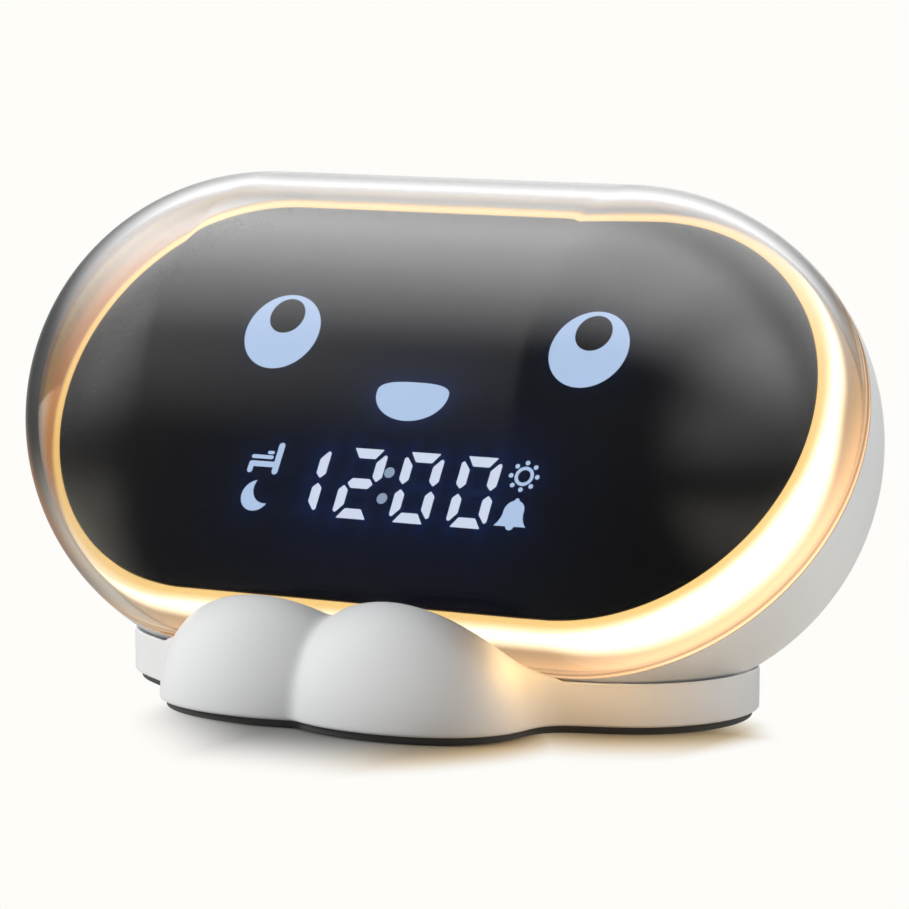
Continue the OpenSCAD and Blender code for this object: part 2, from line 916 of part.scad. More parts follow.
module speaker() {
    r = speaker_d / 2;
    back = speaker_front - speaker_depth;
    color([0.16, 0.16, 0.17]) in_back(-speaker_angle) translate([speaker_x, 0, 0])
        rotate([-90, 0, 0]) rotate_extrude() polygon([
            [0, back], [r * 0.5, back], [r * 0.5, back + speaker_depth * 0.4],
            [r * 0.78, back + speaker_depth * 0.4], [r * 0.94, speaker_front - speaker_rim],
            [r, speaker_front - speaker_rim], [r, speaker_front], [r - speaker_lip, speaker_front],
            [r * 0.45, speaker_front - speaker_rim - 0.4], [0, speaker_front - 1.2]
        ]);
}

module speaker_gasket() {
    color([0.08, 0.08, 0.08]) in_back(-speaker_angle) translate([speaker_x, 0, 0]) difference() {
        rod_y(speaker_d / 2, speaker_front, speaker_front + gasket_t);
        rod_y(speaker_d / 2 - speaker_lip, speaker_front - 1, speaker_front + gasket_t + 1);
    }
}

// Flat cable from the display to the control board, in one slack curve
module ribbon_cable() {
    a = from_face(connector_back, ribbon_z);
    b = from_face(connector_back + ribbon_slack, ribbon_z);
    c = from_back(board_d - socket_t - ribbon_slack, ribbon_high);
    d = from_back(board_d - socket_t, ribbon_high);
    function at(u) = a * pow(1 - u, 3) + 3 * b * u * pow(1 - u, 2) + 3 * c * u * u * (1 - u) + d * pow(u, 3);
    function along(u) = 3 * (b - a) * pow(1 - u, 2) + 6 * (c - b) * u * (1 - u) + 3 * (d - c) * u * u;
    function side(u, k) = at(u) + k * ribbon_t / 2 * [-along(u)[1], along(u)[0]] / norm(along(u));
    color([0.85, 0.85, 0.83]) in_body()
        rotate([90, 0, 90]) linear_extrude(ribbon_w, center = true) polygon(concat(
            [for (i = [0:ribbon_steps]) side(i / ribbon_steps, 1)],
            [for (i = [ribbon_steps:-1:0]) side(i / ribbon_steps, -1)]
        ));
}

module battery() {
    color([0.2, 0.45, 0.7])
        translate([0, body_y + battery_back, battery_z]) rotate([0, 90, 0]) {
            cylinder(r = battery_r, h = battery_l, center = true);
            cylinder(r = battery_r / 3, h = battery_l + 2 * battery_cap_l, center = true);
        }
}

// Trough on the housing's floor that the cell lies in
module battery_holder() {
    half = battery_l / 2 + holder_room;
    low = seat_z + housing_floor;
    color([0.12, 0.12, 0.13]) difference() {
        intersection() {
            translate([-half - holder_wall, body_y + battery_back - battery_r - holder_wall, low])
                cube([2 * (half + holder_wall), 2 * (battery_r + holder_wall), battery_z - low]);
            in_body() capsule(body_r - housing_wall - lens_fit);
        }
        translate([0, body_y + battery_back, battery_z]) rotate([0, 90, 0])
            cylinder(r = battery_r + lens_fit, h = 2 * half, center = true);
    }
}

// ---- Base ----

module base_outline(inset = 0) {
    stadium(base_straight, base_r - inset);
    for (side = [-1, 1])
        translate([paw_x + side * paw_pitch / 2, -paw_ahead]) circle(paw_r - inset);
}

// Both round paws, thinned by `shrink`
module paws(shrink) {
    for (side = [-1, 1]) translate([paw_x + side * paw_pitch / 2, -paw_ahead, 0]) {
        translate([0, 0, sole_t + paw_wall_h]) sphere(paw_r - shrink);
        translate([0, 0, sole_t - shrink]) cylinder(r = paw_r - shrink, h = paw_wall_h + shrink);
    }
}

// Low oval stand with two round paws, hollowed from below, whose cradle fits the pill
module base_shell() {
    color([0.9, 0.9, 0.89]) difference() {
        union() {
            translate([0, 0, sole_t]) linear_extrude(rim_z - sole_t) stadium(base_straight, base_r);
            intersection() {
                paws(0);
                translate([-big / 2, -big / 2, sole_t]) cube(big);
            }
        }
        difference() {
            in_body() capsule(body_r + paw_gap);
            translate([-big / 2, -big / 2, seat_z - big]) cube(big);
        }
        difference() {
            paws(base_wall);
            in_body() capsule(body_r + paw_gap + base_wall);
            translate([0, 0, -1]) linear_extrude(big) stadium(base_straight, base_r - base_wall);
        }
        for (p = base_screw_at) translate([p[0], body_y + p[1], 0]) {
            cylinder(r = screw_r + lens_fit, h = big);
            cylinder(r = screw_head_r + lens_fit, h = sole_t + screw_head_h + lens_fit);
        }
    }
}

module rubber_sole() {
    color([0.25, 0.25, 0.26]) linear_extrude(sole_t) base_outline(sole_inset);
}

module base_screws() {
    color([0.6, 0.6, 0.62]) for (p = base_screw_at)
        translate([p[0], body_y + p[1], sole_t + screw_head_h + lens_fit]) rotate([90, 0, 0])
            screw(base_screw_l - 1);
}

front_cover();
rear_housing();
face_panel();
eye(-1);  // left_eye
eye(1);  // right_eye
dark_caps();
mouth();
digit(1);  // digit_1
digit(2);  // digit_2
digit(3);  // digit_3
digit(4);  // digit_4
colon_dots();
bed_icon();
moon_icon();
sun_icon();
bell_icon();
reflector();
display_board();
display_leds();
display_screws();
display_connector();
chassis();
chassis_screws();
light_ring();
ring_board();
ring_leds();
control_board();
control_chips();
key_switches();
control_screws();
charging_port();
button(-2);  // set_button
button(-1);  // alarm_button
button(0);  // light_button
button(1);  // up_button
button(2);  // down_button
speaker();
speaker_gasket();
ribbon_cable();
battery();
battery_holder();
base_shell();
rubber_sole();
base_screws();
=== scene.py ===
"""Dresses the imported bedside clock: its clear cover, lit face, glowing ring, shells and stage."""

import math
from contextlib import contextmanager

import bmesh
import bpy
import numpy as np
from bpy.props import FloatProperty, FloatVectorProperty, PointerProperty
from bpy.types import Operator, Panel, PropertyGroup
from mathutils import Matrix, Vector
from mathutils.geometry import tessellate_polygon


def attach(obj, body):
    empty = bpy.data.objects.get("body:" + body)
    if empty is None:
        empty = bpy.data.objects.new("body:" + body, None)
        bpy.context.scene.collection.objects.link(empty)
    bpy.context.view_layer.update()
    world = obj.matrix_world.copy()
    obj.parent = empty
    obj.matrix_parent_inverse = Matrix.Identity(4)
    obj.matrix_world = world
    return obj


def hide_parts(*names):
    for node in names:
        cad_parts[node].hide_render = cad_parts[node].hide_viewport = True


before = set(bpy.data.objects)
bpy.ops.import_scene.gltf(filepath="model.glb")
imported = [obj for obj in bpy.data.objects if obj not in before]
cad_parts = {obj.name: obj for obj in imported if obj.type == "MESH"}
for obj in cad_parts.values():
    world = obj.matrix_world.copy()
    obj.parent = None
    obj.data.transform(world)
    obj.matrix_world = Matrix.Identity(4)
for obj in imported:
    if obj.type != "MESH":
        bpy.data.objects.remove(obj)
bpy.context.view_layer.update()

bl_info = {
    "name": "Pill Clock Dresser",
    "version": (1, 0, 0),
    "blender": (4, 5, 0),
    "location": "3D View > Sidebar > Clock",
    "description": "Pieces, finishes and stage of a pill-shaped bedside clock",
    "category": "Object",
}

MM = 0.001
BLACK = (0.0, 0.0, 0.0)
SIGHT = Vector((0.481554, -0.866586, 0.130876))  # unit direction from the clock to the camera
# The lit segments of each digit's place: 12:00, counted as segment_outlines does.
DIGITS = {1: (1, 2), 2: (0, 1, 3, 4, 6), 3: (0, 1, 2, 3, 4, 5), 4: (0, 1, 2, 3, 4, 5)}


def size(name, default, description, low=0.0, high=1.0):
    """A length in metres that a user may change."""
    return FloatProperty(
        name=name, default=default, description=description, min=low, max=high,
        unit="LENGTH", precision=5,
    )


def angle(name, degrees, description):
    """An angle that a user may change."""
    return FloatProperty(
        name=name, default=math.radians(degrees), description=description, subtype="ANGLE")


def tint(name, default, description):
    """A colour in linear light that a user may change."""
    return FloatVectorProperty(
        name=name, default=default, description=description, min=0.0, max=4.0,
        size=3, subtype="COLOR",
    )


class ClockBody(PropertyGroup):
    """Sizes of the pill."""

    half_length: size("Half length", 0.080, "Half the pill's overall length")
    radius: size("Radius", 0.0445, "Radius of the pill")
    rise: size("Axis height", 0.0465, "Height of the axis above the table")
    back: size("Axis setback", 0.002, "Axis behind the middle of the base")
    seam: size("Seam", 0.0004, "Meeting of cover and housing, behind the axis", -0.01, 0.01)
    wall: size("Cover wall", 0.0022, "Wall of the clear cover")
    tilt: angle("Lean", 33.8, "Lean of the face from upright")

    @property
    def straight(self):
        """Half the length of the pill's middle line."""
        return self.half_length - self.radius

    @property
    def slope(self):
        """Cosine and sine of the lean."""
        return math.cos(self.tilt), math.sin(self.tilt)


class ClockFace(PropertyGroup):
    """Sizes of the panel, its lit shapes and the ring."""

    radius: size("Half height", 0.0382, "Half height of the black panel")
    front: size("Depth", 0.0114, "Panel's edge ahead of the axis")
    thickness: size("Thickness", 0.002, "Thickness of the panel at its edge")
    crown: size("Crown", 0.0012, "Bulge of the panel in the middle")
    bevel: size("Bevel", 0.0004, "Bevel of the panel's edge")
    eye: size("Eye", 0.0150, "Diameter of each eye")
    eye_out: size("Eye place", 0.0305, "Each eye from the middle")
    eye_up: size("Eye height", 0.0113, "Height of the eyes above the middle")
    pupil: size("Pupil", 0.0070, "Diameter of each pupil")
    pupil_up: size("Pupil rise", 0.0032, "Rise of the pupil in the eye")
    digit_height: size("Digit height", 0.0132, "Height of each digit")
    digit_width: size("Digit width", 0.0078, "Width of each digit")
    pitch: size("Digit pitch", 0.01125, "Distance between the digits")
    stroke: size("Stroke", 0.00185, "Width of a segment")
    line: size("Display height", -0.0171, "Height of the display's middle", -0.03, 0.0)
    ring: size("Ring", 0.0418, "Outer radius of the glowing ring")
    lip: size("Ring lip", 0.0007, "Ring's lip round the panel")


class ClockBase(PropertyGroup):
    """Sizes of the stand and its paws."""

    straight: size("Half straight", 0.0385, "Half length of the straight sides")
    radius: size("End radius", 0.0216, "Radius of the round ends")
    rim: size("Rim height", 0.0089, "Height of the rim above the table")
    seat: size("Seat height", 0.0046, "Height of the flat seat")
    sole: size("Sole", 0.0014, "Thickness of the rubber sole")
    inset: size("Sole inset", 0.0012, "Sole inside the base's edge")
    paw_width: size("Paw width", 0.0436, "Width of each paw")
    paw_depth: size("Paw depth", 0.0260, "Each paw from front to back")
    paw_rise: size("Paw rise", 0.0213, "Height of each paw above the sole")
    paw_pitch: size("Paw pitch", 0.02646, "Distance between the paws")
    paw_x: size("Paw place", -0.00258, "Sideways place of the pair of paws", -0.02, 0.02)
    paw_ahead: size("Paws ahead", 0.0315, "Paws ahead of the middle")
    paw_turn: angle("Paw turn", 5.2, "Turn of the pair of paws")
    gap: size("Gap", 0.0004, "Gap between the pill and its cradle")
    toe_blend: size("Toe blend", 0.0012, "Softness between the paws")
    rim_blend: size("Rim blend", 0.017, "Softness between paws and rim")


class ClockLook(PropertyGroup):
    """Colours of the finishes and the lights."""

    shell: tint("Shell", (0.81, 0.82, 0.83), "White moulded plastic")
    panel: tint("Panel", (0.003, 0.003, 0.0035), "Black smoked panel")
    lens: tint("Lens", (0.49, 0.65, 0.92), "Lit eyes, mouth and icons")
    digit: tint("Digit", (0.72, 0.81, 1.0), "Lit digits")
    # Colour of the painted blue glow round the lit shapes.
    bloom: tint("Bloom", (0.002, 0.012, 0.062), "Blue haze round the lit shapes")
    glow: tint("Glow", (1.0, 0.84, 0.58), "Core of the night light")
    amber: tint("Amber", (1.15, 0.75, 0.24), "Edges of the night light")
    spill: tint("Spill", (1.0, 0.60, 0.22), "Light that the ring throws round it")
    sole: tint("Sole", (0.085, 0.085, 0.085), "Rubber sole")
    backdrop: tint("Backdrop", (0.99, 0.98, 0.945), "Floor and backdrop")


def group(key):
    """The scene's own body, face, base or look values."""
    return getattr(bpy.context.scene, "clock_" + key)


# ---- meshes


def stack(*parts):
    """Joins arrays of x, y and so on into one array of points."""
    return np.stack(parts, axis=-1)


def lean(points):
    """Turns points of the face's own frame (x, depth, rise) into the clock's frame.

    The face's frame leans back by the tilt about the pill's axis: y = depth cos t + rise sin t,
    z = rise cos t - depth sin t, and the axis lies `back` behind and `rise` above the table.
    """
    body = group("body")
    c, s = body.slope
    x, depth, rise = np.moveaxis(points, -1, 0)
    return stack(x, depth * c + rise * s + body.back, rise * c - depth * s + body.rise)


def face_places(mesh):
    """The x, depth and rise of a mesh's points in the face's own frame: lean, undone."""
    body = group("body")
    c, s = body.slope
    spots = np.empty(len(mesh.vertices) * 3)
    mesh.vertices.foreach_get("co", spots)
    x, y, z = spots.reshape(-1, 3).T
    y, z = y - body.back, z - body.rise
    return x, y * c - z * s, y * s + z * c


def pill_sweep(profile, straight, sides, ends):
    """Carries a profile of (distance from the middle line, depth) round the pill's outline.

    Two half circles about x = +straight and x = -straight, joined by two straight runs, give each
    step i a place on the middle line and a direction. Point (j, i) is
    middle_i + distance_j * direction_i across the face, at depth_j.
    """
    turn = np.linspace(-math.pi / 2, math.pi / 2, ends)
    run = np.linspace(straight, -straight, sides + 2)[1:-1]
    way = np.concatenate([
        turn, np.full(sides, math.pi / 2), turn + math.pi, np.full(sides, 1.5 * math.pi)])
    middle = np.concatenate([np.full(ends, straight), run, np.full(ends, -straight), -run])
    far, depth = profile[:, :1], profile[:, 1:]
    across, up = middle + far * np.cos(way), far * np.sin(way)
    return stack(across, np.broadcast_to(depth, up.shape), up)


def grid_faces(rows, columns, wrap_rows=False):
    """Quads of a grid whose columns close on themselves, as a list."""
    r = np.arange(rows if wrap_rows else rows - 1)[:, None]
    c = np.arange(columns)[None, :]
    r2, c2 = (r + 1) % rows, (c + 1) % columns
    return stack(
        r * columns + c, r * columns + c2, r2 * columns + c2, r2 * columns + c,
    ).reshape(-1, 4).tolist()


@contextmanager
def editing(mesh):
    """Opens a mesh for editing, and writes it back."""
    work = bmesh.new()
    work.from_mesh(mesh)
    yield work
    work.to_mesh(mesh)
    work.free()


def write_attribute(mesh, key, value):
    """Stores one number per point under a name."""
    layer = mesh.attributes.new(key, "FLOAT", "POINT")
    layer.data.foreach_set("value", np.ascontiguousarray(value, dtype=np.float32).ravel())


def add_object(name, data):
    """An object in the scene, for a mesh, a light or a camera."""
    made = bpy.data.objects.new(name, data)
    bpy.context.scene.collection.objects.link(made)
    return made


def new_object(name, points, faces, values=None, body="clock"):
    """Makes a smooth mesh object from arrays, merges its doubles and turns its faces outwards.

    `values` holds one number per point for each named attribute. The sign of the enclosed
    volume, a sixth of the sum of the triple products, tells which way the faces point.
    """
    mesh = bpy.data.meshes.new(name)
    mesh.from_pydata(points.reshape(-1, 3), [], faces)
    for key, value in (values or {}).items():
        write_attribute(mesh, key, value)
    with editing(mesh) as work:
        bmesh.ops.remove_doubles(work, verts=work.verts, dist=2e-7)
        bmesh.ops.dissolve_degenerate(work, edges=work.edges, dist=1e-8)
        if work.calc_volume(signed=True) < 0:
            bmesh.ops.reverse_faces(work, faces=work.faces)
        for face in work.faces:
            face.smooth = True
    piece = add_object(name, mesh)
    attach(piece, body)
    return piece


def swept_piece(name, profile, values=None, closed=True, sides=64, ends=96):
    """A profile carried round the pill and leant with the face; `closed` joins its two ends."""
    points = pill_sweep(profile, group("body").straight, sides, ends)
    rows, columns = points.shape[:2]
    spread = {key: np.repeat(value, columns) for key, value in (values or {}).items()}
    return new_object(name, lean(points), grid_faces(rows, columns, closed), spread)


def stacked_piece(name, rows):
    """Rings of points, one above the other, closed with one face at each end."""
    count = len(rows[0])
    last = (len(rows) - 1) * count
    caps = [list(range(count))[::-1], list(range(last, last + count))]
    return new_object(name, np.stack(rows), grid_faces(len(rows), count) + caps)


def arc(centre, radius, start, end, steps):
    """Points of a circle's arc, angles in degrees."""
    a = np.radians(np.linspace(start, end, steps))
    return stack(centre[0] + radius * np.cos(a), centre[1] + radius * np.sin(a))


def circle(x, z, radius, steps=64):
    return arc((x, z), radius, 0, 360 * (1 - 1 / steps), steps)


def dress(piece, material, crease=50):
    """Keeps edges sharper than `crease` degrees crisp, and gives the piece its finish."""
    limit = math.radians(crease)
    with editing(piece.data) as work:
        for edge in work.edges:
            edge.smooth = len(edge.link_faces) != 2 or edge.calc_face_angle(0.0) < limit
    piece.data.materials.append(material)


# ---- shader maths


def math_node(operation, reflected=False):
    """A method that adds a Math node of a wire and another value, in either order."""
    def method(wire, other):
        values = [other, wire] if reflected else [wire, other]
        return wire.paint.node("Math", {"operation": operation}, values)
    return method


class Wire:
    """An output socket. Sums, products and powers of wires add Math nodes to the tree."""

    def __init__(self, paint, socket):
        self.paint, self.socket = paint, socket

    __add__, __radd__ = math_node("ADD"), math_node("ADD", True)
    __sub__, __rsub__ = math_node("SUBTRACT"), math_node("SUBTRACT", True)
    __mul__, __rmul__ = math_node("MULTIPLY"), math_node("MULTIPLY", True)
    __truediv__, __rtruediv__ = math_node("DIVIDE"), math_node("DIVIDE", True)
    __pow__, __rpow__ = math_node("POWER"), math_node("POWER", True)
    least, most = math_node("MINIMUM"), math_node("MAXIMUM")

    def __neg__(self):
        return -1.0 * self

    def rise(self, low, high):
        """A smooth step from 0 at low to 1 at high."""
        return self.paint.node(
            "MapRange", {"interpolation_type": "SMOOTHSTEP", "clamp": True},
            {"Value": self, "From Min": low, "From Max": high},
        )


class Paint:
    """Fills the node tree of a material or a world."""

    def __init__(self, owner):
        owner.use_nodes = True
        self.owner, self.tree = owner, owner.node_tree
        self.tree.nodes.clear()

    def node(self, kind, settings=None, values=None, out=0):
        """Adds a node, sets it up, then sets or links its sockets. Returns the output `out`, or a
        list of outputs where `out` is a tuple. Colours are three numbers."""
        made = self.tree.nodes.new("ShaderNode" + kind)
        for key, value in (settings or {}).items():
            setattr(made, key, value)
        pairs = enumerate(values) if isinstance(values, list) else (values or {}).items()
        for key, value in pairs:
            socket = made.inputs[key]
            if isinstance(value, Wire):
                self.tree.links.new(value.socket, socket)
            else:
                socket.default_value = (*value, 1.0) if socket.type == "RGBA" else value
        if isinstance(out, tuple):
            return [Wire(self, made.outputs[key]) for key in out]
        return Wire(self, made.outputs[out]) if len(made.outputs) else None

    def place(self):
        """The point's own place on the object."""
        return self.node("TexCoord", out="Object")

    def axes(self, vector):
        """The three parts of a vector."""
        return self.node("SeparateXYZ", values=[vector], out=(0, 1, 2))

    def noise(self, scale, detail=2.0, roughness=0.5, stretch=(1, 1, 1)):
        """A value between 0 and 1 that wanders over the surface; scale counts per metre."""
        where = self.node("Mapping", values={"Vector": self.place(), "Scale": stretch})
        return self.node("TexNoise", values={
            "Vector": where, "Scale": scale, "Detail": detail, "Roughness": roughness})

    def attribute(self, name):
        """A number that the mesh holds for each of its points."""
        return self.node("Attribute", {"attribute_name": name}, out="Fac")

    def mix(self, factor, first, second):
        """A colour between two."""
        return self.node("Mix", {"data_type": "RGBA"},
                         {0: factor, 6: first, 7: second}, out=2)

    def bump(self, height, depth, strength):
        """A normal from a height between 0 and 1, depth metres tall."""
        return self.node("Bump", values={
            "Height": height, "Distance": depth, "Strength": strength})

    def surface(self, **values):
        """Adds the Principled shader, from socket names with underscores, and the output, and
        returns the material."""
        if "Emission_Color" in values:
            values["Emission_Strength"] = 1.0
        shader = self.node("BsdfPrincipled", values={
            key.replace("_", " "): value for key, value in values.items()})
        self.node("OutputMaterial", values=[shader])
        return self.owner

    def ray_kinds(self):
        """Whether a ray leaves the camera, comes from it through clear pieces only, or comes off a
        matt or a polished surface, each as 0 or 1."""
        seen, through, matt, mirrored = self.node("LightPath", out=(
            "Is Camera Ray", "Is Transmission Ray", "Diffuse Depth", "Glossy Depth"))
        bounced = (matt + mirrored).least(1.0)
        return seen, seen.most(through * (1.0 - bounced)), matt.least(1.0), mirrored.least(1.0)


def new_paint(name):
    """The Paint of a new material."""
    return Paint(bpy.data.materials.new(name))


def scaled(shade, k):
    """A colour made lighter or darker."""
    return tuple(part * k for part in shade)


# ---- finishes


def moulded_plastic(name, base, gloss=0.42):
    """Moulded plastic: a fine spark-eroded grain, faint cloudiness and slightly uneven gloss."""
    paint = new_paint(name)
    fine = paint.noise(5200, 3.0, 0.6)
    cloud = paint.noise(55)
    return paint.surface(
        Base_Color=paint.mix(cloud.rise(0.25, 0.75), scaled(base, 0.975), base),
        Roughness=gloss + 0.07 * (cloud - 0.5) + 0.05 * (fine - 0.5),
        Normal=paint.bump(fine, 0.02 * MM, 0.6),
        IOR=1.48,
    )


def clear_plastic():
    """Polished clear plastic with the faintest waviness, and a painted tan glow at its edge and far
    end that stands in for the ring's light.
    """
    paint = new_paint("clear_plastic")
    wave = paint.noise(60, 1.0)
    edge, flank = paint.attribute("edge"), paint.attribute("flank")
    low = ring_place(paint)
    seam = edge.rise(0.91, 0.985)
    clear = paint.mix(wave, (0.955, 0.945, 0.94), (0.935, 0.93, 0.93))
    # Painted light: the base colour turns tan at the far end beside the panel (flank) and towards the
    # seam (edge), and the emission adds a painted tan glow there; both stand in for the ring's light
    # carried in the wall. The dark line at the seam itself is the joint's own colour.
    clear = paint.mix(flank, clear, (0.34, 0.155, 0.055))
    clear = paint.mix(edge, clear, (0.80, 0.70, 0.60))
    painted_glow = paint.mix(low.rise(0.4, 0.85), (0.24, 0.155, 0.085), (0.42, 0.25, 0.14))
    glow = paint.mix(edge * low.rise(-0.3, 0.55) * (1.0 - 0.8 * seam), BLACK, painted_glow)
    return paint.surface(
        Base_Color=paint.mix(seam, clear, (0.34, 0.20, 0.12)),
        Roughness=0.015 + 0.02 * wave,
        Normal=paint.bump(wave, 0.02 * MM, 0.3),
        Emission_Color=paint.mix(flank * flank, glow, (0.22, 0.095, 0.035)),
        Transmission_Weight=1.0,
        IOR=1.49,
    )


def smoked_panel():
    """Glossy black panel; a painted blue glow lies round the lit shapes, standing in for their light
    spreading in the panel.
    """
    look = group("look")
    paint = new_paint("smoked_panel")
    fine = paint.noise(900)
    return paint.surface(
        Base_Color=paint.mix(fine, scaled(look.panel, 0.8), scaled(look.panel, 1.2)),
        Roughness=0.16 + 0.06 * fine,
        Specular_IOR_Level=0.08,
        # Painted glow: emission round the lit shapes stands in for their light spreading in the black
        # panel.
        Emission_Color=paint.mix(paint.attribute("painted_bloom"), BLACK, look.bloom),
        IOR=1.45,
    )


def lit_lens(name, bright):
    """Milky lens lit from behind with faint unevenness; unlit parts show only the painted blue glow
    of the lit shapes.
    """
    look = group("look")
    paint = new_paint(name)
    patch = paint.noise(300, 1.0)
    unlit = paint.mix(paint.attribute("painted_bloom"), BLACK, look.bloom)
    lamp = paint.mix(patch, scaled(bright, 0.96), bright)
    return paint.surface(
        Base_Color=look.panel,
        Roughness=0.18 + 0.05 * patch,
        Emission_Color=paint.mix(paint.attribute("lit"), unlit, lamp),
        Specular_IOR_Level=0.08,
    )


def ring_place(paint):
    """How far a point of the ring lies towards the right and low side, between -1 and 1.

    (over, rise) points from the pill's middle line to the point, across the face and up it.
    """
    body = group("body")
    c, s = body.slope
    x, y, z = paint.axes(paint.place())
    rise = y * s + z * c - (body.back * s + body.rise * c)
    over = (x - body.straight).most(0.0) - (-x - body.straight).most(0.0)
    reach = (over * over + rise * rise) ** 0.5
    return (0.65 * over - 0.6 * rise) / reach


def night_glow():
    """Milky channel: an amber lip, a white-hot band that is wide low on the face and gone at its
    top and far side, and a dull tan skirt that turns amber where the light is strong."""
    look = group("look")
    paint = new_paint("night_glow")
    band = paint.attribute("band") + 0.03 * (paint.noise(120) - 0.5)
    low = ring_place(paint)
    width = 0.06 + 0.44 * low.rise(-0.35, 0.5) + 0.26 * low.rise(0.55, 0.88)
    lip = 1.0 - band.rise(0.10, 0.20 + 0.08 * low.rise(-0.4, 0.3))
    core = band.rise(0.08, 0.26) * (1.0 - band.rise(width - 0.22, width + 0.10))
    skirt = paint.mix(low.rise(-0.2, 1.0), (0.10, 0.05, 0.02), (0.62, 0.42, 0.25))
    edge = paint.mix(lip, skirt, scaled(look.amber, 0.85))
    return paint.surface(
        # Painted light: the base colour is lighter and warmer towards the low right, where the ring's
        # light is strongest.
        Base_Color=paint.mix(low.rise(-0.6, 0.8), (0.42, 0.27, 0.15), (0.80, 0.66, 0.44)),
        Roughness=0.45,
        Emission_Color=paint.mix(core, edge, scaled(look.glow, 2.2)),
    )


def rubber(name, base):
    """Matt rubber with a fine pebble."""
    paint = new_paint(name)
    pebble = paint.noise(2600, 3.0, 0.65)
    return paint.surface(
        Base_Color=paint.mix(paint.noise(80), scaled(base, 0.8), scaled(base, 1.25)),
        Roughness=0.72 + 0.15 * pebble,
        Normal=paint.bump(pebble, 0.05 * MM, 0.8),
    )


def brushed_metal(name, base, rough=0.3):
    """Plated metal with fine uneven brushing."""
    paint = new_paint(name)
    line = paint.noise(1500, 3.0, 0.6, (1.0, 6.0, 1.0))
    return paint.surface(
        Base_Color=paint.mix(line, scaled(base, 0.85), base),
        Metallic=1.0,
        Roughness=rough + 0.12 * line,
        Normal=paint.bump(line, 0.02 * MM, 0.4),
    )


def green_board():
    """Circuit board: dark green solder mask over a faint pattern of copper runs."""
    paint = new_paint("board_green")
    runs = paint.node(
        "TexVoronoi", {"distance": "MANHATTAN", "feature": "DISTANCE_TO_EDGE"},
        {"Vector": paint.place(), "Scale": 420.0})
    track = runs.rise(0.02, 0.12)
    return paint.surface(
        Base_Color=paint.mix(track, (0.03, 0.16, 0.08), (0.015, 0.10, 0.05)),
        Roughness=0.28 + 0.2 * track,
        Normal=paint.bump(track, 0.03 * MM, 0.5),
        Coat_Weight=0.3,
    )


def lamp_chips(bright):
    """Small lamps with a warm phosphor, brighter in some specks."""
    paint = new_paint("lamp_chip")
    speck = paint.noise(2500)
    return paint.surface(
        Base_Color=paint.mix(speck, (0.85, 0.62, 0.2), (0.95, 0.75, 0.3)),
        Roughness=0.35 + 0.1 * speck,
        Emission_Color=paint.mix(speck, scaled(bright, 0.7), bright),
    )


# ---- the lit face


def round_corners(outline, radius, steps=4):
    """Replaces each corner with a short quadratic curve that starts `radius` away from it."""
    def towards(other):
        way = other - outline
        run = np.linalg.norm(way, axis=1, keepdims=True)
        return outline + way / run * np.minimum(radius, run * 0.45)

    a, b = (towards(np.roll(outline, step, axis=0))[:, None] for step in (1, -1))
    t = np.linspace(0, 1, steps)[None, :, None]
    curve = (1 - t) ** 2 * a + 2 * t * (1 - t) * outline[:, None] + t ** 2 * b
    return curve.reshape(-1, 2)


def stroke(p, q, radius, steps=9):
    """Outline of a straight stroke with round ends."""
    turn = math.degrees(math.atan2(q[1] - p[1], q[0] - p[0]))
    return np.concatenate([
        arc(p, radius, turn + 90, turn + 270, steps), arc(q, radius, turn - 90, turn + 90, steps)])


def segment_outlines(face):
    """The seven segments of a digit about its middle, clockwise from the top, middle last."""
    w, h, t = face.digit_width / 2, face.digit_height / 2, face.stroke
    bar = np.array([(-w + 1 * MM, h), (w - 1 * MM, h), (w - t - 0.45 * MM, h - t),
                    (-w + t + 0.45 * MM, h - t)])
    side = np.array([
        (w, h - 1.25 * MM), (w - 0.5 * MM, h - 1 * MM), (w - t, h - 2.55 * MM),
        (w - t, 1.35 * MM), (w - t / 2, 0.45 * MM), (w, 1.35 * MM)])
    reach, thick, point = w - 1.4 * MM, t / 2, 0.8 * MM
    middle = np.array([
        (-reach, 0), (-reach + point, thick), (reach - point, thick), (reach, 0),
        (reach - point, -thick), (-reach + point, -thick)])
    shapes = [bar, side, side * (1, -1), bar * (1, -1), side * (-1, -1), side * (-1, 1), middle]
    return [round_corners(shape, 0.22 * MM) for shape in shapes]


def digit_shapes(face, place):
    """The segments of one digit in place, each as (lit, outline)."""
    x = (place - 2.5) * face.pitch + face.pitch * 0.02
    return [(float(k in DIGITS[place]), outline + (x, face.line))
            for k, outline in enumerate(segment_outlines(face))]


def mouth_outline():
    """Half moon: an elliptical bowl under a flatter lid, a superellipse above."""
    half_width, lid, bowl, flatness = 7.15, 2.3, 5.2, 2.8
    a = np.linspace(0, 2 * math.pi, 72, endpoint=False)
    c, s = np.cos(a), np.sin(a)
    power = np.where(s > 0, 2 / flatness, 1.0)
    x = half_width * np.sign(c) * np.abs(c) ** power
    z = np.where(s > 0, lid, bowl) * np.sign(s) * np.abs(s) ** power
    return stack(x - 0.4, z + 0.5) * MM


def moon_outline():
    """A disc less a second one, whose edges cross where both distances fit."""
    disc, cut, (x, z) = 2.9, 2.95, (2.1, 1.55)
    gap, turn = math.hypot(x, z), math.degrees(math.atan2(z, x))
    reach = (gap ** 2 + disc ** 2 - cut ** 2) / (2 * gap)
    outer, inner = math.degrees(math.acos(reach / disc)), math.degrees(math.acos((gap - reach) / cut))
    return np.concatenate([
        arc((0, 0), disc, turn + outer, turn + 360 - outer, 40),
        arc((x, z), cut, turn + 180 + inner, turn + 180 - inner, 30)[1:-1]])


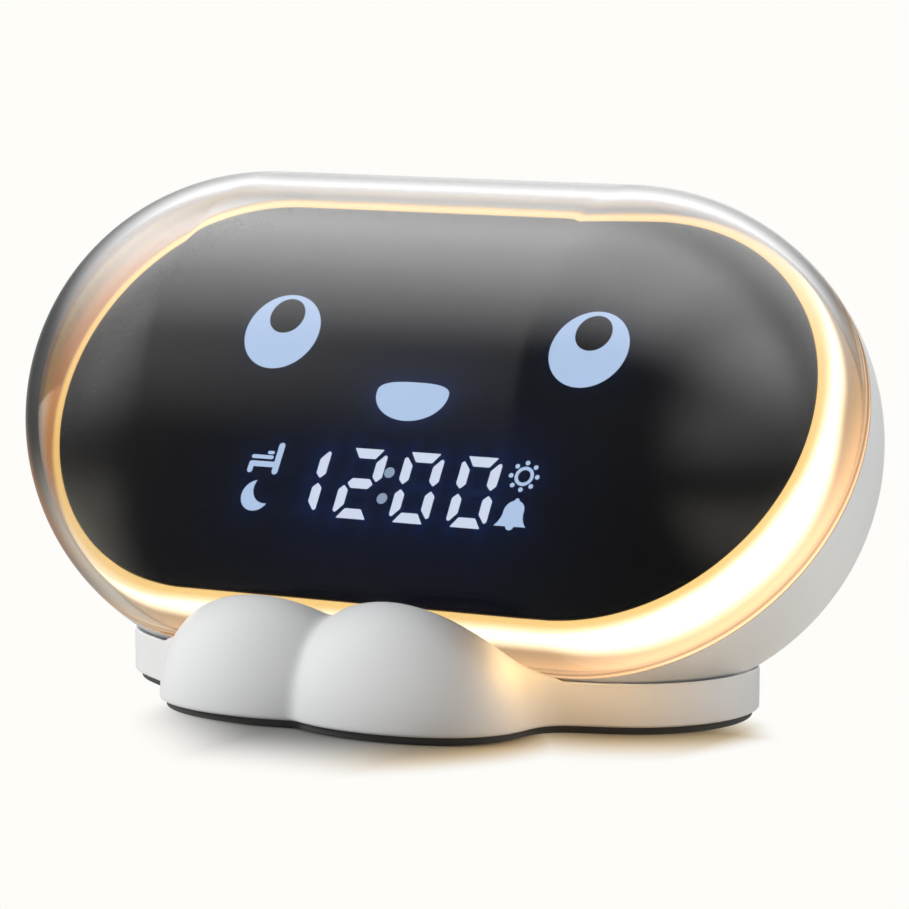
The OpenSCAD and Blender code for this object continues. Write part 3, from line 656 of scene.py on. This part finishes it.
def bell_outline():
    """A dome with a knob, flanks that flare with the power 2.6 of the drop, and a clapper."""
    dome, u = (0, 0.95), np.linspace(0, 1, 12)
    flank = stack(1.8 + 1.1 * u ** 2.6, dome[1] - 2.95 * u)
    return np.concatenate([
        arc(dome, 1.8, 0, 76, 12), arc((0, 2.75), 0.42, -20, 200, 12), arc(dome, 1.8, 104, 180, 12),
        flank[1:] * (-1, 1), arc((0, -2.0), 0.68, 0, -180, 12)[::-1], flank[:0:-1]])


def icon_shapes(face):
    """Bed, moon, sun and bell beside the digits: for each icon its shapes as (lit, outline) or
    (lit, outline, hole). They are drawn in millimetres about their own middles."""
    bed = [stroke((2.35, 2.45), (2.35, -2.45), 0.6), stroke((-2.75, -1.2), (1.75, -1.2), 0.52),
           stroke((-2.75, -1.72), (-2.75, -2.45), 0.52), stroke((-2.75, 0.15), (0.95, 0.15), 0.36),
           stroke((0.2, 1.05), (0.95, 1.05), 0.3)]
    turns = [k * math.pi / 4 for k in range(8)]
    rays = [[circle(2.5 * math.cos(a), 2.5 * math.sin(a), 0.43, 16)] for a in turns]
    plans = {
        "bed_icon": (-25.4, 3.5, [[outline] for outline in bed]),
        "moon_icon": (-25.4, -3.7, [[moon_outline()]]),
        "sun_icon": (25.4, 3.6, [[circle(0, 0, 1.8, 40), circle(0, 0, 1.18, 32)], *rays]),
        "bell_icon": (25.4, -3.7, [[bell_outline()]]),
    }
    return {
        name: [(1.0, *((loop + (x, up)) * MM + (0, face.line) for loop in loops)) for loops in shapes]
        for name, (x, up, shapes) in plans.items()
    }


def crown_depth(face, x, z):
    """Depth of the panel's front: the edge's depth less a bulge that falls with the square of
    the distance from the middle line."""
    far = np.hypot(np.maximum(np.abs(x) - group("body").straight, 0.0), z)
    return -face.front - face.crown * (1 - (far / face.radius) ** 2)


def lens_piece(name, shapes, finish, lift=0.04 * MM, thickness=0.9 * MM):
    """Thin plates that follow the panel's crown.

    Each shape is (lit, outline) or (lit, outline, hole): its plan is cut into triangles, laid on
    the crown and given straight sides.
    """
    face = group("face")
    points, faces, lit = [], [], []
    for on, *loops in shapes:
        plan = np.concatenate(loops)
        start, count = len(lit), len(plan)
        front = crown_depth(face, plan[:, 0], plan[:, 1]) - lift
        points += [stack(plan[:, 0], depth, plan[:, 1])
                   for depth in (front, front + thickness)]
        lit += [on] * (2 * count)
        triangles = tessellate_polygon([[Vector((x, z, 0)) for x, z in loop] for loop in loops])
        faces += [[start + i for i in t] for t in triangles]
        faces += [[start + count + i for i in t[::-1]] for t in triangles]
        for loop in loops:
            here = start + np.arange(len(loop))
            after = np.roll(here, -1)
            faces += stack(after, here, here + count, after + count).tolist()
            start += len(loop)
    points = np.concatenate(points)
    painted_bloom = painted_bloom_at(points[:, 0], points[:, 2])
    piece = new_object(name, lean(points), faces, {"lit": lit, "painted_bloom": painted_bloom})
    with editing(piece.data) as work:
        bmesh.ops.recalc_face_normals(work, faces=work.faces)
    dress(piece, finish, crease=30)
    return piece


def painted_bloom_at(x, z):
    """Strength of the painted blue glow round the lit shapes: falls off with the distance from the
    nearest lit outline.

    It is 0.55 exp(-d / 1.1 mm) + 0.45 exp(-d / 8 mm), each times the outline's weight and the
    largest over all of them.
    """
    face = group("face")
    lit = [(outline, 1.0) for place in DIGITS for on, outline in digit_shapes(face, place) if on]
    lit += [(mouth_outline(), 0.9)]
    lit += [(shape[1], 0.5) for shapes in icon_shapes(face).values() for shape in shapes]
    lit += [(circle(side * face.eye_out, face.eye_up, face.eye / 2), 0.25) for side in (-1, 1)]
    spots = np.concatenate([outline for outline, _ in lit])
    weight = np.concatenate([np.full(len(outline), share) for outline, share in lit])
    painted_bloom, batch = np.zeros(len(x)), 4000
    for start in range(0, len(x), batch):
        part = slice(start, start + batch)
        d = np.hypot(x[part, None] - spots[:, 0], z[part, None] - spots[:, 1])
        for share, reach in ((0.55, 1.1 * MM), (0.45, 8.0 * MM)):
            painted_bloom[part] += share * (weight * np.exp(-d / reach)).max(axis=1)
    return painted_bloom


# ---- the base


def blend_union(a, b, soft):
    """The smaller of two distances, with the crease between them filled over a width `soft`."""
    h = np.maximum(soft - np.abs(a - b), 0.0) / soft
    return np.minimum(a, b) - h * h * soft / 4


def halve(holds, low, high, steps):
    """Halves a stretch again and again round the place where `holds` turns false."""
    for _ in range(steps):
        middle = (low + high) / 2
        still = holds(middle)
        low, high = np.where(still, middle, low), np.where(still, high, middle)
    return (low + high) / 2


def paw_places():
    """The middles of the left and right paw on the table."""
    base = group("base")
    half = base.paw_pitch / 2 * np.array([math.cos(base.paw_turn), -math.sin(base.paw_turn)])
    middle = np.array([base.paw_x, -base.paw_ahead])
    return middle - half, middle + half


def base_distance(x, y, z):
    """Distance to the stand's surface, negative inside.

    A disc with straight sides and a flat top, joined softly with two half ellipsoids. With the
    point scaled by the half axes to length k, and by their squares to length m, an ellipsoid's
    distance is about (k - 1) k / m.
    """
    base = group("base")
    flat = np.hypot(np.maximum(np.abs(x) - base.straight, 0.0), y) - base.radius
    over = z - base.rim
    disc = np.hypot(np.maximum(flat, 0), np.maximum(over, 0))
    disc += np.minimum(np.maximum(flat, over), 0)
    wide, deep, tiny = base.paw_width / 2, base.paw_depth / 2, 1e-6
    up = np.maximum(z - base.sole, 0.0) / base.paw_rise
    paws = []
    for at in paw_places():
        across, along = (x - at[0]) / wide, (y - at[1]) / deep
        k = np.sqrt(across ** 2 + along ** 2 + up ** 2) + tiny
        m = np.sqrt((across / wide) ** 2 + (along / deep) ** 2 + (up / base.paw_rise) ** 2)
        paws.append((k - 1) * k / (m + tiny / base.paw_depth))
    return blend_union(blend_union(*paws, base.toe_blend), disc, base.rim_blend)


def base_outline(count):
    """The stand's outline at the table and, for each step, a point well inside it.

    A rough outline of the disc and the two paws is stepped evenly and moved onto the zero of
    base_distance along its slope. The inner point is the mean of the disc's nearest middle point
    and the paws' centres, weighted by how near each one's own edge is.
    """
    base = group("base")
    paws = paw_places()
    half = np.array([base.paw_width, base.paw_depth]) / 2
    toe = math.degrees(math.acos(base.paw_pitch / base.paw_width))
    rough = np.concatenate([
        arc((base.straight, 0), base.radius, -90, 90, 60),
        arc((-base.straight, 0), base.radius, 90, 262, 60),
        paws[0] + half * arc((0, 0), 1.0, 182, 360 - toe, 60),
        paws[1] + half * arc((0, 0), 1.0, 180 + toe, 358, 60),
    ])

    def even(loop):
        closed = np.concatenate([loop, loop[:1]])
        run = np.concatenate([[0], np.cumsum(np.linalg.norm(np.diff(closed, axis=0), axis=1))])
        at = np.linspace(0, run[-1], count, endpoint=False)
        return stack(*(np.interp(at, run, closed[:, k]) for k in (0, 1)))

    loop, step, damping, least_steep = even(rough), 1e-5, 0.7, 0.05
    for _ in range(3):
        for _ in range(12):
            x, y = loop.T
            f = base_distance(x, y, base.sole)
            slope = stack(
                base_distance(x + step, y, base.sole) - f,
                base_distance(x, y + step, base.sole) - f) / step
            steep = np.maximum((slope ** 2).sum(axis=1), least_steep)
            loop = loop - damping * slope * (f / steep)[:, None]
        loop = even(loop)
    spine = stack(np.clip(loop[:, 0], -base.straight, base.straight), np.zeros(count))
    gaps = [np.linalg.norm(loop - spine, axis=1) - base.radius]
    gaps += [(np.linalg.norm((loop - paw) / half, axis=1) - 1) * half[1] for paw in paws]
    weight = np.exp(-np.maximum(gaps, 0) / (3 * MM))
    weight /= weight.sum(axis=0)
    inner = sum(w[:, None] * middle for w, middle in zip(weight, (spine, *paws)))
    return loop, inner


def pill_underside(x, y, radius):
    """Height of the pill's underside over a point: its axis height less the drop of a sphere
    rolled along the middle line."""
    body = group("body")
    far2 = np.maximum(np.abs(x) - body.straight, 0.0) ** 2 + (y - body.back) ** 2
    return body.rise - np.sqrt(np.maximum(radius ** 2 - far2, 0.0))


def base_shell(count=520, wall_rows=56, cradle_rows=22):
    """The stand: a wall that follows base_distance up to the pill's cradle, and the cradle.

    For each step of the outline and each height, the wall's point is found by halving the
    stretch between the inner point and a point outside.
    """
    base, body = group("base"), group("body")
    loop, inner = base_outline(count)
    hollow, edge = body.radius + base.gap, 0.35 * MM
    reach = np.linalg.norm(loop - inner, axis=1, keepdims=True)
    way = (loop - inner) / reach

    def wall_point(z):
        def inside(far):
            return (base_distance(*(inner + way * far).T, z) < 0)[:, None]
        return inner + way * halve(inside, np.zeros((count, 1)), reach * 1.25, 34)

    def free(z):
        below = z < pill_underside(*wall_point(z).T, hollow)
        return below & (base_distance(*inner.T, z) < 0)

    def rounding(past):
        return edge * (1 - np.sqrt(1 - 0.98 * np.clip(past / edge, 0, 1) ** 2))

    top = base.sole + base.paw_rise * 1.2
    crest = halve(free, np.full(count, base.sole), np.full(count, top), 30)
    rows = []
    for t in np.concatenate([[0, 0.006, 0.02], np.linspace(0.05, 1, wall_rows)]):
        z = base.sole + (crest - base.sole) * t
        pull = rounding(z - (crest - edge)) + rounding(base.sole + edge - z)
        rows.append(np.column_stack([wall_point(z) - way * pull[:, None], z]))
    rim, lip = rows[-1][:, :2], rows[-1][:, 2]
    goal = np.column_stack([
        np.clip(rim[:, 0], -body.straight, body.straight), np.full(count, body.back)])
    for t in np.linspace(0, 1, cradle_rows)[1:] * 0.93:
        spot = rim + (goal - rim) * t
        z = np.maximum(pill_underside(*spot.T, hollow), base.seat)
        rows.append(np.column_stack([spot, np.minimum(z, lip)]))
    return stacked_piece("paw_base", rows)


def sole_piece(count=520):
    """The sole: the stand's outline moved in by the inset, with a small rounding at the table."""
    base = group("base")
    loop, _ = base_outline(count)
    along = np.roll(loop, -1, axis=0) - np.roll(loop, 1, axis=0)
    along /= np.linalg.norm(along, axis=1, keepdims=True)
    inward = stack(-along[:, 1], along[:, 0])
    soft = 0.3 * MM
    levels = [(soft * (1 - math.sin(a)), soft * (1 - math.cos(a)))
              for a in np.linspace(0, math.pi / 2, 5)] + [(0.0, base.sole)]
    rows = [np.column_stack([loop + inward * (base.inset + pull), np.full(count, z)])
            for pull, z in levels]
    return stacked_piece("rubber_foot", rows)


# ---- the stage


def stage_camera():
    """Looks at the clock from the right of its face and a little above."""
    target, distance = Vector((1.81, 2.0, 42.36)) * MM, 0.76921
    data = bpy.data.cameras.new("camera")
    data.sensor_width, data.lens = 36.0, 172.88
    data.clip_start, data.clip_end = 0.05, 20.0
    eye = add_object("camera", data)
    eye.location = target + SIGHT * distance
    eye.rotation_mode = "QUATERNION"
    eye.rotation_quaternion = (-SIGHT).to_track_quat("-Z", "Y")
    bpy.context.scene.camera = eye


def stage_floor():
    """A round floor that fades into the backdrop and keeps the clock's cast shadow, with a painted
    contact shadow round the stand and a painted warm pool of the ring's spill.
    """
    radius, steps = 0.6, 96
    mesh = bpy.data.meshes.new("floor")
    rim = np.column_stack([circle(0, 0, radius, steps), np.zeros(steps)])
    mesh.from_pydata(rim, [], [list(range(steps))])
    ground = add_object("floor", mesh)
    ground.visible_glossy = False
    look = group("look")
    paint = new_paint("floor_with_painted_shade")
    x, y, _ = paint.axes(paint.place())
    seen, straight, matt, mirrored = paint.ray_kinds()
    away = outside_shadow(x, y)
    # Within this reach the camera sees the darker lit floor, partly the real cast shadow and partly
    # painted shadow; beyond it the plain backdrop.
    fade = away.rise(0.0, 33 * MM)
    # Painted light: a warm pool of the ring's spill, painted into the floor's colour right of the
    # stand and fading away from it.
    warm = x.rise(5 * MM, 35 * MM) * (1.0 - away.rise(6 * MM, 30 * MM))
    # Painted contact shadow: near, from the occlusion node, darkens the floor's colour round the
    # stand for camera rays.
    near = paint.node("AmbientOcclusion", {"samples": 8}, {"Distance": 45 * MM}, out="AO")
    paper_and_painted_spill = paint.mix(warm, look.backdrop, np.multiply(look.backdrop, (1.06, 0.84, 0.54)))
    lit = (0.6 * near).most(matt * (0.3 + 0.6 * fade))
    plain = paint.node("BsdfDiffuse", values=[paint.mix(0.86 * lit, BLACK, paper_and_painted_spill)])
    seen_paper_and_painted_spill = paint.mix(seen, scaled(look.backdrop, 0.95), paper_and_painted_spill)
    bright = paint.node("Emission", values=[seen_paper_and_painted_spill])
    sheet = paint.node("MixShader", values=[straight * fade, plain, bright])
    whole = paint.node("MixShader", values=[mirrored, sheet, paint.node("BsdfTransparent")])
    paint.node("OutputMaterial", values=[whole])
    mesh.materials.append(paint.owner)


def outside_shadow(x, y):
    """How far a point of the floor lies outside the painted shadow round the stand, in metres.

    It is the distance to the nearer of the rim and a pill round both paws, and grows faster
    to the left, far to the right and behind, where the shadow is short.
    """
    base = group("base")
    half_toes = (base.paw_pitch + base.paw_width - base.paw_depth) / 2
    ends = ((x * x) ** 0.5 - base.straight).most(0.0)
    toes = (((x - base.paw_x) ** 2.0) ** 0.5 - half_toes).most(0.0)
    rim = (ends * ends + y * y) ** 0.5 - base.radius + 8 * MM
    paws = (toes * toes + (y + base.paw_ahead) ** 2.0) ** 0.5 - base.paw_depth / 2
    away = rim.least(paws + 0.7 * (x - 22 * MM).most(0.0))
    away = away + (-x - 9 * MM).most(0.0) + 1.2 * (x - 62 * MM).most(0.0)
    return away + 1.5 * (y + 10 * MM).most(0.0)


def stage_lamps():
    """A soft lamp overhead, a key from the left, one from behind on the right, and small warm
    ones just outside the cover, which throw the ring's light on the stand and the floor."""
    for name, place, width, power in (
        ("overhead", (-0.05, 0.70, 1.05), 0.9, 4.0),
        ("key", (-1.05, -0.55, 0.66), 0.5, 12.5),
        ("side", (1.25, 0.45, 0.60), 0.8, 6.6),
    ):
        data = bpy.data.lights.new(name, "AREA")
        data.shape, data.size, data.energy = "DISK", width, power
        lamp = add_lamp(data, place)
        towards = Vector((0, 0, 40 * MM)) - Vector(place)
        lamp.rotation_mode = "QUATERNION"
        lamp.rotation_quaternion = towards.to_track_quat("-Z", "Y")
    body, outwards = group("body"), 0.975
    reach = body.radius + 0.9 * MM
    ahead = -reach * math.sqrt(1 - outwards ** 2)
    spills = ((-90, 0.0030), (-72, 0.0042), (-50, 0.0050), (-25, 0.0026))
    for k, (turn, power) in enumerate(spills):
        x, rise = arc((body.straight, 0.0), outwards * reach, turn, turn, 1)[0]
        data = bpy.data.lights.new(f"spill_{k}", "POINT")
        data.shadow_soft_size, data.energy, data.color = 3 * MM, power, group("look").spill
        add_lamp(data, lean(np.array([x, ahead, rise])))


def add_lamp(data, place):
    """Puts a light where it can't be seen in anything polished."""
    lamp = add_object(data.name, data)
    lamp.location = place
    lamp.visible_camera = lamp.visible_glossy = lamp.visible_transmission = False
    return lamp


def stage_world():
    """Even light all round; polished pieces mirror the room, and show the backdrop where
    light goes straight through them."""
    world = bpy.data.worlds.new("surroundings")
    bpy.context.scene.world = world
    paint = Paint(world)
    seen, straight, matt, _ = paint.ray_kinds()
    x, y, z = paint.axes(paint.node("TexCoord", out="Generated"))
    ahead = -SIGHT.x * x - SIGHT.y * y - SIGHT.z * z
    room, table = room_light(x, y, z, ahead)
    wall = 0.07 + 0.5 * z.rise(0.15, 0.8) + 0.8 * (-z).rise(0.1, 0.6)
    level = room + straight * (wall - room)
    polished = paint.node("CombineXYZ", values=[level + 0.05 * table, level, level - 0.15 * table])
    even = 0.20 + 0.36 * (0.25 * y - 0.85 * x).rise(-0.1, 0.9) + 0.10 * z.rise(0.0, 0.8)
    dull = paint.node("CombineXYZ", values=[even, even, even])
    clear = seen.most(straight * ahead.rise(0.972, 0.99))
    final = paint.mix(clear, paint.mix(matt, polished, dull), group("look").backdrop)
    paint.node("OutputWorld", values=[paint.node("Background", values=[final])])
    bpy.context.scene.view_settings.view_transform = "Standard"


def room_light(x, y, z, ahead):
    """Brightness of the room in a direction, and its warm part from the table.

    A broad box stands overhead, with pale sides, a bright table behind the clock, a screen on
    the left, a low wall behind and a light that only grazing edges mirror; the front is dark.
    """
    box = 2.8 * (0.75 * y + 0.66 * z).rise(-0.12, 0.68) * z.rise(0.05, 0.65)
    box = box * (1.0 - 0.35 * x.rise(0.25, 0.7)) * (1.0 - 0.5 * y.rise(0.25, 0.6))
    sides = 0.6 * (x * x).rise(0.25, 0.9) * z.rise(-0.3, 0.3)
    sides = sides * (1.0 - 0.85 * (y - 0.6 * x).rise(0.45, 0.8))
    table = 0.9 * y.rise(0.0, 0.5) * (1.0 - 0.65 * (-x).rise(0.3, 0.6))
    table = (-z).rise(0.12, 0.5) * (table + 0.36 * (x * x).rise(0.3, 0.75))
    left = (-x).rise(0.38, 0.68) * (-y).rise(0.15, 0.5) * z.rise(-0.1, 0.65)
    behind = 0.35 * y.rise(0.5, 0.75) * z.rise(0.0, 0.25) * (1.0 - z.rise(0.35, 0.65))
    right = (0.874 * x + 0.486 * y).rise(-0.25, 0.02)
    rim = 0.85 * ahead.rise(0.93, 0.985) * (0.1 + 0.9 * right)
    return 0.055 + box + sides + table + left + behind + rim, table


# ---- operators


class CLOCK_OT_stage(Operator):
    """Makes the camera, the pale floor, the soft lamps and the surroundings"""

    bl_idname = "clock.stage"
    bl_label = "Stage"

    def execute(self, context):
        stage_camera()
        stage_floor()
        stage_lamps()
        stage_world()
        return {"FINISHED"}


class CLOCK_OT_cover(Operator):
    """Builds the clear front cover as a two-walled bubble"""

    bl_idname = "clock.cover"
    bl_label = "Clear cover"

    def execute(self, context):
        """Outer and inner arcs about the axis, joined at the seam by a softened edge."""
        body = group("body")
        outer, inner, seam = body.radius, body.radius - body.wall, body.seam
        soft, glow_depth = 0.25 * MM, 7 * MM

        def wall(radius, steps):
            a = np.linspace(0, math.acos((soft - seam) / radius), steps)
            return stack(radius * np.sin(a), -radius * np.cos(a))

        far_out, far_in = math.sqrt(outer ** 2 - seam ** 2), math.sqrt(inner ** 2 - seam ** 2)
        profile = np.concatenate([
            wall(outer, 72),
            arc((far_out - soft, seam - soft), soft, 0, 90, 6)[1:],
            arc((far_in + soft, seam - soft), soft, 90, 180, 6),
            wall(inner, 60)[::-1][1:],
        ])
        # Nearness to the seam, where the material paints the ring's light as a tan tint and glow.
        edge = np.clip(1 + (profile[:, 1] - seam) / glow_depth, 0, 1) ** 1.5
        piece = swept_piece("clear_cover", profile, {"edge": edge}, closed=False)
        write_attribute(piece.data, "flank", self.flank(piece.data, body))
        piece.data.materials.append(clear_plastic())
        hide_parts("front_cover")
        return {"FINISHED"}

    def flank(self, mesh, body):
        """How strongly painted ring light tints the cover's far end, beside the panel, in its base
        colour and glow.

        It is a bell of the depth d, exp(-((d + 11 mm) / 6.5 mm)^2), times how far the point's
        direction from the middle line turns to the left.
        """
        x, depth, rise = face_places(mesh)
        over = np.minimum(x + body.straight, 0.0)
        side = -over / np.maximum(np.hypot(over, rise), MM)
        bell = np.exp(-((depth + 11.0 * MM) / (6.5 * MM)) ** 2)
        return np.clip((side - 0.3) / 0.6, 0, 1) * bell


class CLOCK_OT_panel(Operator):
    """Builds the crowned black panel with the painted blue glow of its lit shapes"""

    bl_idname = "clock.panel"
    bl_label = "Face panel"

    def execute(self, context):
        """The crown's own profile, a bevel, a wall and a flat back."""
        face = group("face")
        rho = np.linspace(0, face.radius - face.bevel, 74)
        front = stack(rho, crown_depth(face, group("body").straight + rho, 0.0))
        corner = arc((rho[-1], front[-1, 1] + face.bevel), face.bevel, -90, 0, 6)
        back = -face.front + face.thickness
        profile = np.concatenate([front, corner[1:], [[face.radius, back], [0.0, back]]])
        piece = swept_piece("smoked_face", profile, closed=False, sides=150, ends=130)
        x, _, rise = face_places(piece.data)
        write_attribute(piece.data, "painted_bloom", painted_bloom_at(x, rise))
        dress(piece, smoked_panel())
        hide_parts("face_panel", "dark_caps")
        return {"FINISHED"}


class CLOCK_OT_lenses(Operator):
    """Builds the lit eyes, mouth, digits, colon and icons"""

    bl_idname = "clock.lenses"
    bl_label = "Lit shapes"

    def execute(self, context):
        face, look = group("face"), group("look")
        soft, crisp = lit_lens("lit_lens", look.lens), lit_lens("lit_digit", look.digit)
        pale = lit_lens("lit_colon", scaled(look.lens, 0.6))
        for side, name in ((-1, "left_eye"), (1, "right_eye")):
            x = side * face.eye_out
            ball = circle(x, face.eye_up, face.eye / 2, 96)
            pupil = circle(x, face.eye_up + face.pupil_up, face.pupil / 2)
            self.add(lens_piece(name + "_lens", [(1.0, ball, pupil)], soft), name)
        self.add(lens_piece("mouth_lens", [(1.0, mouth_outline())], soft), "mouth")
        for place in DIGITS:
            self.add(lens_piece(f"digit_{place}_lens", digit_shapes(face, place), crisp),
                     f"digit_{place}", "lens_digit")
        dots = [(1.0, circle(-0.3 * MM, face.line + up, MM, 32)) for up in (-2.45 * MM, 2.45 * MM)]
        self.add(lens_piece("colon_lens", dots, pale), "colon_dots")
        for name, shapes in icon_shapes(face).items():
            self.add(lens_piece(name + "_lens", shapes, soft), name)
        return {"FINISHED"}

    def add(self, piece, node, slot="lens_blue"):
        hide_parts(node)


class CLOCK_OT_glow(Operator):
    """Builds the milky ring of the night light"""

    bl_idname = "clock.glow"
    bl_label = "Night light"

    def execute(self, context):
        """A lip round the panel's edge, then an arc about the axis down to the lamps' board."""
        body, face = group("body"), group("face")
        inner = face.radius + 0.1 * MM
        outer, front = inner + face.lip, -face.front + 0.3 * MM
        back, end = -face.front + face.thickness, body.seam - 0.1 * MM
        soft, start = 0.25 * MM, front + 0.15 * MM
        foot, skirt, top = face.ring - 0.8 * MM, inner - 1.7 * MM, end - 2.5 * MM
        bow = np.linspace(start, end, 60)
        lip = np.concatenate([
            [[inner, back]],
            arc((inner + soft, front + soft), soft, 180, 270, 5),
            arc((outer - soft, front + soft), soft, 270, 300, 3)])
        profile = np.concatenate([
            lip,
            [[outer, start]],
            stack(np.sqrt(face.ring ** 2 - bow ** 2), bow),
            [[foot, end], [foot, top], [skirt, top], [skirt, back]],
        ])
        band = np.concatenate([
            np.zeros(len(lip)), [0.08], np.linspace(0.17, 1.0, len(bow)), np.ones(4)])
        piece = swept_piece("glow_ring", profile, {"band": band})
        dress(piece, night_glow())
        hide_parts("light_ring")
        return {"FINISHED"}


class CLOCK_OT_base(Operator):
    """Builds the stand with its two paws and the rubber sole"""

    bl_idname = "clock.base"
    bl_label = "Base and sole"

    def execute(self, context):
        look = group("look")
        shell = base_shell()
        # Neither the cover's mirror image nor its rim shows the stand.
        shell.visible_glossy = shell.visible_transmission = False
        dress(shell, moulded_plastic("base_white", look.shell))
        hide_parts("base_shell")
        sole = sole_piece()
        dress(sole, rubber("sole_rubber", look.sole))
        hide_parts("rubber_sole")
        return {"FINISHED"}


class CLOCK_OT_finishes(Operator):
    """Gives every carried-over node its finish"""

    bl_idname = "clock.finishes"
    bl_label = "Housing, buttons and inside"

    def execute(self, context):
        look = group("look")
        plan = {
            moulded_plastic("housing_white", look.shell): "rear_housing",
            moulded_plastic("button_white", scaled(look.shell, 0.97), 0.34):
                "set_button alarm_button light_button up_button down_button",
            moulded_plastic("frame_grey", (0.62, 0.60, 0.56), 0.5): "chassis reflector",
            moulded_plastic("dark_plastic", (0.02, 0.02, 0.022), 0.45):
                "control_chips key_switches speaker battery_holder",
            moulded_plastic("ivory_plastic", (0.72, 0.68, 0.58), 0.4):
                "display_connector ribbon_cable",
            moulded_plastic("cell_wrap", (0.03, 0.12, 0.32), 0.25): "battery",
            rubber("foam", (0.02, 0.02, 0.02)): "speaker_gasket",
            brushed_metal("screw_steel", (0.60, 0.60, 0.62)):
                "display_screws chassis_screws control_screws base_screws",
            brushed_metal("port_steel", (0.75, 0.75, 0.77), 0.2): "charging_port",
            green_board(): "display_board control_board ring_board",
            lamp_chips(look.glow): "display_leds ring_leds",
        }
        for material, nodes in plan.items():
            for node in nodes.split():
                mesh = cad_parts[node].data
                mesh.materials.clear()
                mesh.materials.append(material)
        return {"FINISHED"}


class CLOCK_PT_panel(Panel):
    """Lists the steps that dress the clock"""

    bl_label = "Clock"
    bl_idname = "CLOCK_PT_panel"
    bl_space_type = "VIEW_3D"
    bl_region_type = "UI"
    bl_category = "Clock"

    def draw(self, context):
        for step in STEPS:
            self.layout.operator(step.bl_idname)
        for name in GROUPS:
            box, owner = self.layout.box(), getattr(context.scene, name)
            for key in owner.__annotations__:
                box.prop(owner, key)


GROUPS = {
    "clock_body": ClockBody, "clock_face": ClockFace,
    "clock_base": ClockBase, "clock_look": ClockLook,
}
STEPS = (
    CLOCK_OT_stage, CLOCK_OT_cover, CLOCK_OT_panel, CLOCK_OT_lenses, CLOCK_OT_glow,
    CLOCK_OT_base, CLOCK_OT_finishes,
)
CLASSES = (*GROUPS.values(), *STEPS, CLOCK_PT_panel)


def register():
    for kind in CLASSES:
        bpy.utils.register_class(kind)
    for name, kind in GROUPS.items():
        setattr(bpy.types.Scene, name, PointerProperty(type=kind))


def unregister():
    for name in GROUPS:
        delattr(bpy.types.Scene, name)
    for kind in reversed(CLASSES):
        bpy.utils.unregister_class(kind)


def main():
    """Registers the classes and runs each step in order."""
    register()
    for step in STEPS:
        area, name = step.bl_idname.split(".")
        getattr(getattr(bpy.ops, area), name)()


if __name__ == "__main__":
    main()
